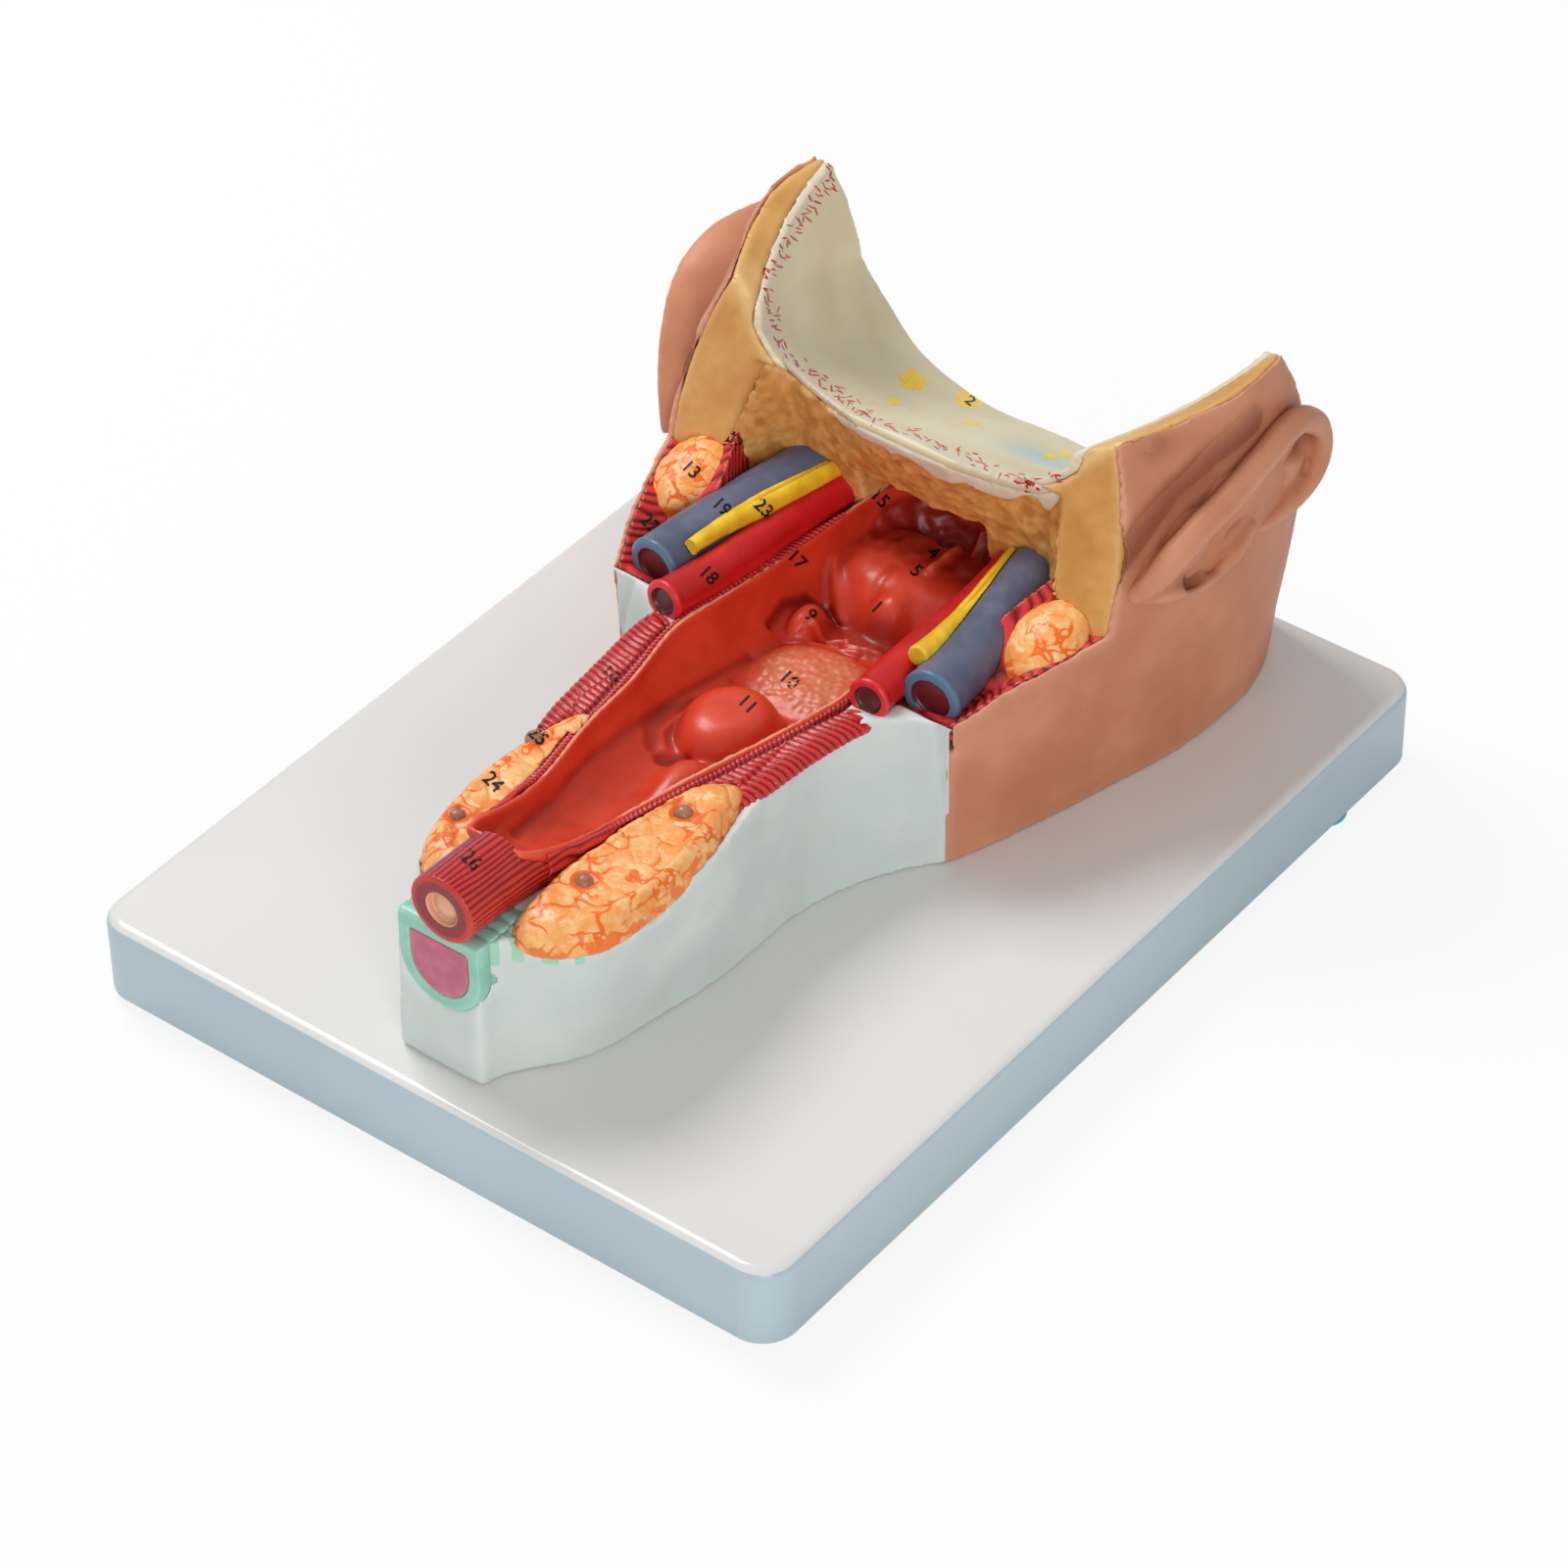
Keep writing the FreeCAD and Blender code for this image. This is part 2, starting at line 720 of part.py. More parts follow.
def save(name, shape):
    shape.exportStep("parts/" + name + ".step")
    print(name, "solids", len(shape.Solids), "volume", round(shape.Volume), "valid", shape.isValid())


# planes and blocks that divide the head between its pieces
fat_inner_share = 0.42
fat_bottom_share = 0.45
bed_inner_share = 0.36


def right_block(inner_share, low_share, high_share):
    """Block on the right of the middle that reaches past the casting."""
    inner = inner_share * casting_half_width
    return Part.makeBox(
        2 * casting_half_width - inner,
        2 * casting_length,
        (high_share - low_share) * casting_height,
        V(inner, -casting_length, base_top + low_share * casting_height),
    )


def make_trachea():
    front = neck_front_share * casting_length
    inner = trachea_face(trachea_wall, front).extrude(V(0, trachea_length, 0))
    ring = trachea_face(0, front).extrude(V(0, trachea_length, 0))
    hoops = []
    for i in range(trachea_hoop_count):
        station = front + (i + 0.3) * trachea_hoop_pitch
        hoop = trachea_face(-trachea_hoop_rise, station).extrude(V(0, trachea_hoop_width, 0))
        hoops.append(hoop)
    return main_solid(ring.fuse(hoops).cut(inner)), inner


def make_esophagus():
    centres = along(esophagus_shares)
    radii = [esophagus_radius, esophagus_radius, esophagus_end_radius]
    wires = [
        Part.Wire([Part.Circle(centre, V(0, 1, 0), radius).toShape()])
        for centre, radius in zip(centres, radii)
    ]
    bore = Part.makeCylinder(esophagus_bore_radius, esophagus_bore_depth, centres[0], V(0, 1, 0))
    return loft(wires), bore


def save_pair(name, shape):
    save(name + "_right", shape)
    save(name + "_left", mirrored(shape))


def both(*shapes):
    return list(shapes) + [mirrored(shape) for shape in shapes]


def main():
    os.makedirs("parts", exist_ok=True)

    panel, skirt, bottom = make_base()
    save("base_panel", panel)
    save("base_skirt", skirt)
    save("base_bottom", bottom)
    for name, place in foot_places().items():
        save("foot_" + name, make_foot(place))
    washers, screws, closing = make_fasteners()
    save("casting_washers", Part.makeCompound(washers))
    save("casting_screws", Part.makeCompound(screws))
    save("closing_screws", Part.makeCompound(closing))

    # spaces that stay open, and the core inside the skin
    far_end = far_end_cutter()
    front_space = before_cut_face()
    above_bed = bed_prism(0, cut_face_shares[1][1]).common(front_space)
    recess = recess_volume()
    rim_cut = rim_cutter()
    cranium = cavity_volume(0)
    dura_outer = cavity_volume(dura_thickness)
    core = head_volume(skin_thickness)
    opening = pharynx_volume(0, 2 * overrun)
    lining_outer = pharynx_volume(lining_wall, 0)
    pharynx = [opening, lining_outer]

    # what lies in the pharynx
    palate = palate_volume()
    tongue = ellipsoid(at(*tongue_shares), tongue_radii)
    epiglottis = ellipsoid(at(*epiglottis_shares), epiglottis_radii, -12)
    arytenoid = ellipsoid(at(*arytenoid_shares), arytenoid_radii, -8)
    tonsil = ellipsoid(at(*tonsil_shares), tonsil_radii)
    save("pharynx_lining", main_solid(lining_outer.cut(opening)))
    save("soft_palate", main_solid(palate.common(opening)))
    save("tongue_root", main_solid(tongue.common(opening).cut([palate] + both(tonsil))))
    save("epiglottis", main_solid(epiglottis.common(opening).cut(tongue)))
    save("arytenoid_fold", main_solid(arytenoid.common(opening).cut(epiglottis)))
    save_pair("tonsil", main_solid(tonsil.common(opening).cut(palate)))

    # lower front: trachea, esophagus, constrictors and thyroid
    trachea, membrane = make_trachea()
    gullet, gullet_bore = make_esophagus()
    trachea = main_solid(trachea.cut(gullet))
    save("trachea_ring", trachea)
    save("trachea_membrane", membrane)
    save("esophagus", main_solid(gullet.cut([gullet_bore] + pharynx)))

    jugular_line = along(jugular_shares)
    carotid_line = along(carotid_shares)
    nerve_line = along(nerve_shares)
    behind = Part.makeBox(2 * casting_half_width, casting_length, casting_height,
                          at(-1, cut_face_shares[0][0], recess_bottom_share)).cut(recess)
    jugular = tube_volume(jugular_line, [jugular_radius] * 4).cut(behind)
    carotid = tube_volume(carotid_line, [carotid_radius] * 4).cut([behind, jugular])
    nerve = tube_volume(nerve_line, [nerve_radius] * 4).cut([behind, jugular, carotid])
    save_pair("jugular_vein", main_solid(
        bored(jugular, jugular_line, jugular_bore_radius, vessel_bore_depth)))
    save_pair("carotid_artery", main_solid(
        bored(carotid, carotid_line, carotid_bore_radius, vessel_bore_depth)))
    save_pair("vagus_nerve", main_solid(nerve))
    vessels = [jugular, carotid, nerve]

    constrictor_whole = constrictor_volume()
    constrictor = constrictor_whole.cut(pharynx + [gullet] + vessels)
    constrictor = main_solid(constrictor)
    save_pair("constrictor", constrictor)
    lobes = {"thyroid_lobe_right": thyroid_volume(), "thyroid_lobe_left": mirrored(thyroid_volume())}
    lobes["thyroid_lobe_left"].rotate(at(*left_lobe_pivot_shares), V(0, 0, 1), left_lobe_turn)
    lobes["thyroid_lobe_left"].translate(V(left_lobe_shift, 0, 0))
    beads = [ellipsoid(at(*place), [parathyroid_radius] * 3) for place in parathyroid_shares]
    for name, lobe in lobes.items():
        around = both(constrictor, *beads) + [gullet, trachea, membrane] + pharynx
        save(name, main_solid(lobe.cut(around)))
    save_pair("parathyroids", Part.makeCompound(beads))

    # side of the head: parotid, wedge muscle and the bed under the vessels
    parotid = ellipsoid(at(*parotid_centre_shares), parotid_radii, parotid_tilt)
    parotid = main_solid(parotid.common(core).cut(vessels))
    wedge_whole = wedge_volume()
    wedge = main_solid(wedge_whole.cut(vessels + [parotid]))
    pocket = bed_prism(muscle_bed_thickness, cut_face_shares[1][1]).common(core)
    pocket = pocket.common(front_space).common(right_block(bed_inner_share, 0, 1))
    bed = main_solid(cut_each(pocket, [above_bed, parotid, wedge] + vessels))
    save_pair("parotid_gland", parotid)
    save_pair("digastric_muscle", wedge)
    save_pair("muscle_bed", bed)

    # skull: dura, bone and fat, all behind the cut face
    shaping = [front_space, recess, rim_cut, far_end]
    dura = dura_outer.common(core).cut(shaping + [cranium])
    save("dura_lining", main_solid(dura))
    bone = bone_volume().common(core).cut(shaping + [dura_outer, cranium] + pharynx)
    bone = main_solid(bone.cut(both(wedge, parotid)))
    save("skull_base", bone)
    fat = core.common(right_block(fat_inner_share, fat_bottom_share, 1.3))
    fat = fat.cut(shaping + [dura_outer, cranium, bone, parotid, wedge] + pharynx)
    fat = main_solid(fat)
    save_pair("fat_section", fat)

    # castings
    pilots = [
        cylinder(screw_radius, screw_length - panel_thickness - washer_thickness, p)
        for p in casting_screw_places()
    ]
    neck = loft([neck_wire(neck_base_shares, 0), neck_wire(neck_crown_shares, neck_top_share)])
    neck = neck.cut(pilots + pharynx + [gullet, trachea, membrane])
    neck = neck.cut(both(constrictor, *vessels) + list(lobes.values()))
    save("neck_casting", main_solid(neck))
    head = head_volume(0)
    ear = ear_volume()
    left_ear = mirrored(ear)
    left_ear.rotate(at(*left_ear_pivot_shares), V(1, 0, 0), left_ear_turn)
    left_ear.translate(V(0, 0, -left_ear_drop))
    save("ear_right", main_solid(ear.cut(head)))
    save("ear_left", main_solid(left_ear.cut(head)))
    head = cut_each(head, [far_end, above_bed, recess])
    head = cut_each(head, both(pocket, parotid, wedge_whole, *vessels))
    head = cut_each(head, [rim_cut, cranium, dura_outer.common(core)] + pilots + pharynx)
    head = cut_each(head, both(constrictor_whole) + [bone] + both(fat))
    save("head_casting", main_solid(head))


main()
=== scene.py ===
import json
import math

import bmesh
import bpy
import numpy as np
from mathutils import Matrix, Vector, noise


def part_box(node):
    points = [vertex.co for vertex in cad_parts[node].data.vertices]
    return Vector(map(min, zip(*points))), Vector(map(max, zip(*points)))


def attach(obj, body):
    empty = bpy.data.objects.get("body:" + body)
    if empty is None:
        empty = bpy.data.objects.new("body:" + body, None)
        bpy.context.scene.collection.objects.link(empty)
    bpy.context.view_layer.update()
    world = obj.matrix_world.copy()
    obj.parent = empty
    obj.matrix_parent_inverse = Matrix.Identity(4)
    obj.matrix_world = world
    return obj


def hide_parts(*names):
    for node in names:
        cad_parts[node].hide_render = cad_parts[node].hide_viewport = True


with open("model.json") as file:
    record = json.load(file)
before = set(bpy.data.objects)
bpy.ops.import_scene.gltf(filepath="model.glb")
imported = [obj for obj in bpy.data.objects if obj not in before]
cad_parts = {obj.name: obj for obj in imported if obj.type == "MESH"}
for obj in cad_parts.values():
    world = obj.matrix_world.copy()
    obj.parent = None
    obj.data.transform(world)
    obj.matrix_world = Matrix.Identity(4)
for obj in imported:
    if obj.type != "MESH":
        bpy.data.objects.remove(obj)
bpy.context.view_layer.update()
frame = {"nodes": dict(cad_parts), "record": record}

mm = 0.001
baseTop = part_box("base_panel")[1].z

# Places on the model are shares of these lengths, measured from the middle of the base's top
modelSpan = {"halfWidth": 0.080, "length": 0.250, "height": 0.100}


def at(across, along, up):
    return Vector((across * modelSpan["halfWidth"], along * modelSpan["length"],
                   baseTop + up * modelSpan["height"]))


def rowAt(table, station):
    # eased values between the rows of a table whose first column is the station
    stations = [row[0] for row in table]
    last = len(table) - 1
    spot = min(max(station, stations[0]), stations[-1])
    k = min(max(sum(1 for s in stations if s <= spot) - 1, 0), last - 1)
    span = stations[k + 1] - stations[k]
    t = (spot - stations[k]) / span
    values = []
    for c in range(1, len(table[0])):
        start, end = table[k][c], table[k + 1][c]
        chord = end - start
        before = after = chord
        if k > 0:
            before = (start - table[k - 1][c]) / (stations[k] - stations[k - 1]) * span
        if k < last - 1:
            after = (table[k + 2][c] - end) / (stations[k + 2] - stations[k + 1]) * span
        slopeIn = 0.5 * (before + chord)
        slopeOut = 0.5 * (after + chord)
        values.append((2 * t**3 - 3 * t**2 + 1) * start + (t**3 - 2 * t**2 + t) * slopeIn
                      + (3 * t**2 - 2 * t**3) * end + (t**3 - t**2) * slopeOut)
    return values


def alongCurve(points, share):
    # a point on the smooth curve through the points, at a share of its length
    steps = [0.0]
    for a, b in zip(points, points[1:]):
        steps.append(steps[-1] + (Vector(b) - Vector(a)).length)
    table = [[s / steps[-1], *p] for s, p in zip(steps, points)]
    return Vector(rowAt(table, share))


def addPiece(name, bm):
    mesh = bpy.data.meshes.new(name)
    bm.to_mesh(mesh)
    bm.free()
    piece = bpy.data.objects.new(name, mesh)
    bpy.context.scene.collection.objects.link(piece)
    return piece


def shadeSmooth(piece):
    piece.data.polygons.foreach_set("use_smooth", [True] * len(piece.data.polygons))
    piece.data.update()


def settle(piece):
    # the modifiers' result becomes the piece's own mesh
    bpy.context.view_layer.update()
    shaped = piece.evaluated_get(bpy.context.evaluated_depsgraph_get())
    old = piece.data
    piece.data = bpy.data.meshes.new_from_object(shaped)
    piece.modifiers.clear()
    bpy.data.meshes.remove(old)


def nodeForm(bm, *nodes):
    for node in nodes:
        bm.from_mesh(frame["nodes"][node].data)
    bmesh.ops.remove_doubles(bm, verts=bm.verts, dist=0.002 * mm)


def remeshSkin(piece, voxel, passes):
    # closed forms that overlap become one skin, relaxed where they meet
    remesh = piece.modifiers.new("Union", "REMESH")
    remesh.mode = "VOXEL"
    remesh.voxel_size = voxel * mm
    settle(piece)
    bm = smoothed(piece, passes)
    bm.to_mesh(piece.data)
    bm.free()
    shadeSmooth(piece)


def smoothed(piece, passes):
    bm = bmesh.new()
    bm.from_mesh(piece.data)
    for _ in range(passes):
        bmesh.ops.smooth_vert(bm, verts=bm.verts, factor=0.5, use_axis_x=True, use_axis_y=True,
                              use_axis_z=True)
    return bm


def places(piece):
    co = np.empty(len(piece.data.vertices) * 3)
    piece.data.vertices.foreach_get("co", co)
    return co.reshape(-1, 3) / mm


def facings(piece):
    normals = np.empty(len(piece.data.vertices) * 3)
    piece.data.vertices.foreach_get("normal", normals)
    return normals.reshape(-1, 3)


def press(piece, shifts):
    piece.data.vertices.foreach_set("co", ((places(piece) + shifts) * mm).ravel())
    piece.data.update()


def swell(piece, heights):
    press(piece, facings(piece) * np.reshape(heights, (-1, 1)))


def lumps(spots, size, seed=0):
    # smooth noise of a size in millimetres
    offset = Vector((seed * 17.3, seed * 5.1, seed * 9.7))
    return np.array([noise.noise(Vector(p) / size + offset) for p in spots])


def spotMask(spots, centre, radii):
    away = (spots - np.array(centre)) / np.array(radii)
    return np.exp(-(away**2).sum(1))


def lengthsAlong(spots, line):
    # per place: length along the line to its nearest point, and distance from it
    best = np.full(len(spots), np.inf)
    lengths = np.zeros(len(spots))
    walked = 0.0
    for a, b in zip(np.array(line, float), np.array(line, float)[1:]):
        span = np.linalg.norm(b - a)
        share = np.clip(((spots - a) @ (b - a)) / span**2, 0, 1)
        away = np.linalg.norm(spots - a - share[:, None] * (b - a), axis=1)
        lengths = np.where(away < best, walked + share * span, lengths)
        best = np.minimum(best, away)
        walked += span
    return lengths, best


def lineMask(spots, line, width):
    return np.exp(-(lengthsAlong(spots, line)[1] / width)**2)


def paint(piece, name, values):
    layer = piece.data.attributes.new(name, "FLOAT", "POINT")
    layer.data.foreach_set("value", np.asarray(values, np.float32))


def addBlobs(bm, blobs):
    # closed round forms: centre and radii in millimetres
    for centre, radii in blobs:
        pose = Matrix.Translation(centre) @ Matrix.Diagonal((*radii, 1.0))
        bmesh.ops.create_icosphere(bm, subdivisions=4, radius=1.0, matrix=Matrix.Scale(mm, 4) @ pose)


def addRope(bm, points, radii):
    # a soft round cord through the points, as a chain of close spheres for remeshSkin to join
    length = sum((Vector(b) - Vector(a)).length for a, b in zip(points, points[1:]))
    count = max(2, int(length / (0.4 * min(radii))))
    for k in range(count + 1):
        share = k / count
        place = alongCurve(points, share)
        radius = float(np.interp(share, np.linspace(0, 1, len(radii)), radii))
        pose = Matrix.Scale(mm, 4) @ Matrix.Translation(place)
        bmesh.ops.create_icosphere(bm, subdivisions=2, radius=radius, matrix=pose)


def creaseDepths(piece, passes):
    # how far each place lies below (above zero) or above the softened surface, in millimetres
    bm = smoothed(piece, passes)
    soft = np.array([v.co[:] for v in bm.verts]) / mm
    bm.free()
    return ((soft - places(piece)) * facings(piece)).sum(1)


def paintCreases(piece, passes, depth):
    # painted shade in the creases, partly standing for a gathered wash, and a painted highlight on the
    # ridges
    depths = creaseDepths(piece, passes) / depth
    paint(piece, "crease", 0.9 * np.clip(depths, 0, 1))
    paint(piece, "ridge", 0.8 * np.clip(-depths, 0, 1))


def cellEdges(spots, size, wobble, seed):
    # 0 on the borders between cells of a size in millimetres, growing towards their middles
    shift = np.stack([lumps(spots, size * 0.7, seed + k) for k in range(3)], 1) * wobble
    edges = []
    for p in (spots + shift) / size:
        near = noise.voronoi(Vector(p))[0]
        edges.append(near[1] - near[0])
    return np.array(edges)


def step(values, low, high):
    t = np.clip((values - low) / (high - low), 0, 1)
    return t * t * (3 - 2 * t)


def finishPiece(piece, slot, material, *nodes):
    piece.data.materials.clear()
    piece.data.materials.append(material)
    shadeSmooth(piece)
    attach(piece, "root")
    if nodes:
        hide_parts(*nodes)
    return piece


def linear(hexColour):
    def channel(c):
        return c / 12.92 if c <= 0.04045 else ((c + 0.055) / 1.055)**2.4
    return tuple(channel(int(hexColour[i:i + 2], 16) / 255) for i in (1, 3, 5)) + (1.0,)


def addNode(tree, kind, inputs=None, output=0, **settings):
    # inputs are sockets, hex colours or constants; what comes back is the socket for the next node
    node = tree.nodes.new(kind)
    for name, value in settings.items():
        setattr(node, name, value)
    for name, value in (inputs or {}).items():
        if isinstance(value, bpy.types.NodeSocket):
            tree.links.new(value, node.inputs[name])
        else:
            node.inputs[name].default_value = linear(value) if isinstance(value, str) else value
    return node.outputs[output]


def startMaterial(name):
    material = bpy.data.materials.new(name)
    material.use_nodes = True
    tree = material.node_tree
    spot = addNode(tree, "ShaderNodeTexCoord", output="Object")
    return material, tree, spot


def closeMaterial(tree, colour, roughness, bumps, coat=0.0, ior=1.5):
    # bumps are height socket and depth in millimetres
    shader = tree.nodes["Principled BSDF"]
    shader.inputs["IOR"].default_value = ior
    shader.inputs["Coat Weight"].default_value = coat
    shader.inputs["Coat Roughness"].default_value = 0.12
    tree.links.new(colour, shader.inputs["Base Color"])
    tree.links.new(roughness, shader.inputs["Roughness"])
    normal = (0, 0, 0)
    for height, depth in bumps:
        normal = addNode(tree, "ShaderNodeBump", {"Height": height, "Distance": depth * mm, "Strength": 1.0,
                                                  "Normal": normal})
    tree.links.new(normal, shader.inputs["Normal"])


# Sockets of a colour mix, which shares its node with mixes of other kinds
mixFirst, mixSecond, mixResult = 6, 7, 2

lacquerIor = 1.44
# Sizes of the coats' patterns in millimetres, or as shares of a look's own drift
coatSizes = {"fleckShare": 0.22, "brushingShare": 0.5, "peel": 1.6, "torn": 0.9}
# How far the roughness strays below and above a look's own, and how soft a torn edge is
coatRanges = {"smoother": 0.05, "rougher": 0.09, "tornEdge": 0.12}


# Cast vinyl, brushed with thin colour coats and sealed with lacquer: the coats drift in tone, the creases
# are darker from the gathered wash and from painted shade, the ridges lighter with a painted highlight, and
# the lacquer leaves a faint orange peel
def paintedVinyl(name, look, overlays=()):
    # overlays are attribute, colour and how much of its edge breaks up
    material, tree, spot = startMaterial(name)
    drift, fleck, brushing, peel = [
        addNode(tree, "ShaderNodeTexNoise", {"Vector": spot, "Scale": 1 / (size * mm), "Detail": detail})
        for size, detail in ((look["drift"], 4), (look["drift"] * coatSizes["fleckShare"], 3),
                             (look["drift"] * coatSizes["brushingShare"], 3), (coatSizes["peel"], 2))]
    colour = look["shade"]
    for pattern, low, high, most, shown in ((drift, 0.34, 0.66, 1.0, look["main"]),
                                            (fleck, 0.35, 0.75, look["fleck"], look["shade"])):
        share = addNode(tree, "ShaderNodeMapRange", {"Value": pattern, "From Min": low, "From Max": high,
                        "To Max": most}, interpolation_type="SMOOTHSTEP")
        colour = addNode(tree, "ShaderNodeMix", {"Factor": share, mixFirst: colour, mixSecond: shown},
                         mixResult, data_type="RGBA")
    # ridge colour: painted highlight; crease colour: gathered wash and painted shade
    for attribute, shown, ragged in (("ridge", look["ridge"], 0), ("crease", look["crease"], 0), *overlays):
        share = addNode(tree, "ShaderNodeAttribute", output="Fac", attribute_name=attribute)
        if ragged:
            torn = addNode(tree, "ShaderNodeTexNoise", {"Vector": spot,
                           "Scale": 1 / (coatSizes["torn"] * mm)})
            share = addNode(tree, "ShaderNodeMath", {0: torn, 1: ragged, 2: share}, operation="MULTIPLY_ADD")
            low, high = [0.5 + 0.5 * ragged + sign * coatRanges["tornEdge"] for sign in (-1, 1)]
            share = addNode(tree, "ShaderNodeMapRange", {"Value": share, "From Min": low, "From Max": high},
                            interpolation_type="SMOOTHSTEP")
        colour = addNode(tree, "ShaderNodeMix", {"Factor": share, mixFirst: colour, mixSecond: shown},
                         mixResult, data_type="RGBA")
    shine = addNode(tree, "ShaderNodeMapRange", {"Value": brushing, "From Min": 0.3, "From Max": 0.7,
                    "To Min": look["rough"] - coatRanges["smoother"],
                    "To Max": look["rough"] + coatRanges["rougher"]}, interpolation_type="SMOOTHSTEP")
    closeMaterial(tree, colour, shine, [(brushing, look["wave"]), (peel, look["peel"])], look["coat"],
                  lacquerIor)
    return material


def evenFinish(name, main, shade, roughness, noises, fade, depth, metallic=0.0, ior=1.5):
    # noises are size in millimetres and detail, for the colour, the shine and the surface
    material, tree, spot = startMaterial(name)
    drift, sheen, wave = [
        addNode(tree, "ShaderNodeTexNoise", {"Vector": spot, "Scale": 1 / (size * mm), "Detail": detail})
        for size, detail in noises]
    share = addNode(tree, "ShaderNodeMapRange", {"Value": drift, "From Min": fade, "From Max": 1 - fade},
                    interpolation_type="SMOOTHSTEP")
    colour = addNode(tree, "ShaderNodeMix", {"Factor": share, mixFirst: shade, mixSecond: main}, mixResult,
                     data_type="RGBA")
    shine = addNode(tree, "ShaderNodeMapRange", {"Value": sheen, "From Min": 0.3, "From Max": 0.7,
                    "To Min": roughness[0], "To Max": roughness[1]}, interpolation_type="SMOOTHSTEP")
    tree.nodes["Principled BSDF"].inputs["Metallic"].default_value = metallic
    closeMaterial(tree, colour, shine, [(wave, depth)], ior=ior)
    return material


sheet = ((70, 2), (25, 3), (9, 1))
tumbled = ((0.8, 3), (0.8, 3), (0.5, 2))
brushed = ((0.7, 2), (0.7, 2), (0.6, 2))
evenFinishes = {
    # Moulded sheet, trays and feet: polished by the mould, with the slightest waviness
    "panel_white": ("polished polystyrene sheet", "#E4E3E1", "#E0DFDD", (0.15, 0.20), sheet, 0.3, 0.006),
    "tray_blue": ("moulded polystyrene, pale blue", "#B9CAD3", "#B3C5CF", (0.28, 0.33), sheet, 0.3, 0.01),
    "foot_cyan": ("moulded rubber, cyan", "#4FC0D0", "#45B4C4", (0.53, 0.58), sheet, 0.3, 0.02),
    # Zinc plated steel: bright metal with a fine tumbled grain
    "fastener_steel": ("zinc plated steel", "#B9BCC0", "#B9BCC0", (0.24, 0.4), tumbled, 0.3, 0.01, 1.0),
    # Stamping ink and brushed enamel: thick enough to stand a little proud, matt black, satin red and yellow
    "ink_black": ("stamping ink, black", "#0C0807", "#1A1210", (0.5, 0.5), brushed, 0.35, 0.02, 0, 1.38),
    "enamel_red": ("brushed enamel, red", "#C93A30", "#B02A24", (0.4, 0.4), brushed, 0.35, 0.02, 0, 1.38),
    "enamel_yellow": ("brushed enamel, yellow", "#FFDE00", "#F2C400", (0.35, 0.35), brushed, 0.35, 0.02, 0,
                      1.38),
}

# Main, shade, crease and ridge colours, the crease colour being wash and painted shade and the ridge colour
# a painted highlight; drift in millimetres; roughness, coat and fleck; depths of brush marks and orange peel
# in millimetres
lookColumns = ("main", "shade", "crease", "ridge", "drift", "rough", "coat", "fleck", "wave", "peel")
lookRows = {
    "skin": ("#D08C69", "#C07A57", "#96543F", "#DFA488", 26, 0.50, 0.05, 0.25, 0.15, 0.06),
    "neck_block": ("#D9E0DC", "#CBD6D3", "#A9B4AF", "#E8EEEA", 30, 0.48, 0.05, 0.12, 0.3, 0.05),
    "fat_tan": ("#D9A35A", "#CB9048", "#A86C2C", "#E8BC78", 14, 0.46, 0.1, 0.3, 0.15, 0.05),
    "bone_ochre": ("#E2A95C", "#D0924A", "#A5642A", "#EDC484", 6, 0.46, 0.12, 0.4, 0.15, 0.09),
    "dura_cream": ("#E4D8B6", "#DACBA2", "#B9A677", "#EEE6CE", 20, 0.42, 0.1, 0.12, 0.15, 0.05),
    "mucosa_red": ("#E2482B", "#D03A22", "#8E170F", "#EA6A4E", 16, 0.36, 0.1, 0.18, 0.15, 0.05),
    "muscle_red": ("#CC2020", "#B6181B", "#700A0F", "#E25048", 5, 0.31, 0.1, 0.2, 0.15, 0.05),
    "artery_red": ("#D01B20", "#BA1419", "#86090F", "#DE3438", 14, 0.32, 0.15, 0.12, 0.15, 0.05),
    "vein_blue": ("#666B86", "#525B72", "#39455C", "#8088A0", 12, 0.34, 0.12, 0.12, 0.15, 0.05),
    "nerve_yellow": ("#F5D02A", "#E4B31C", "#B98613", "#FBE26A", 6, 0.32, 0.2, 0.12, 0.15, 0.05),
    "gland_orange": ("#FCC684", "#F7A654", "#EA661C", "#FEDDB0", 4, 0.34, 0.15, 0.45, 0.15, 0.05),
    "bead_brown": ("#A9765A", "#955F44", "#7A4630", "#BD8D72", 3, 0.34, 0.2, 0.12, 0.15, 0.05),
    "cartilage_mint": ("#98D2BE", "#84C4AF", "#6FAF9B", "#B4E0D0", 6, 0.36, 0.2, 0.12, 0.15, 0.05),
    "membrane_pink": ("#CB6880", "#BA5770", "#9C3F58", "#D98095", 5, 0.36, 0.2, 0.12, 0.15, 0.05),
}
looks = {slot: dict(zip(lookColumns, row)) for slot, row in lookRows.items()}
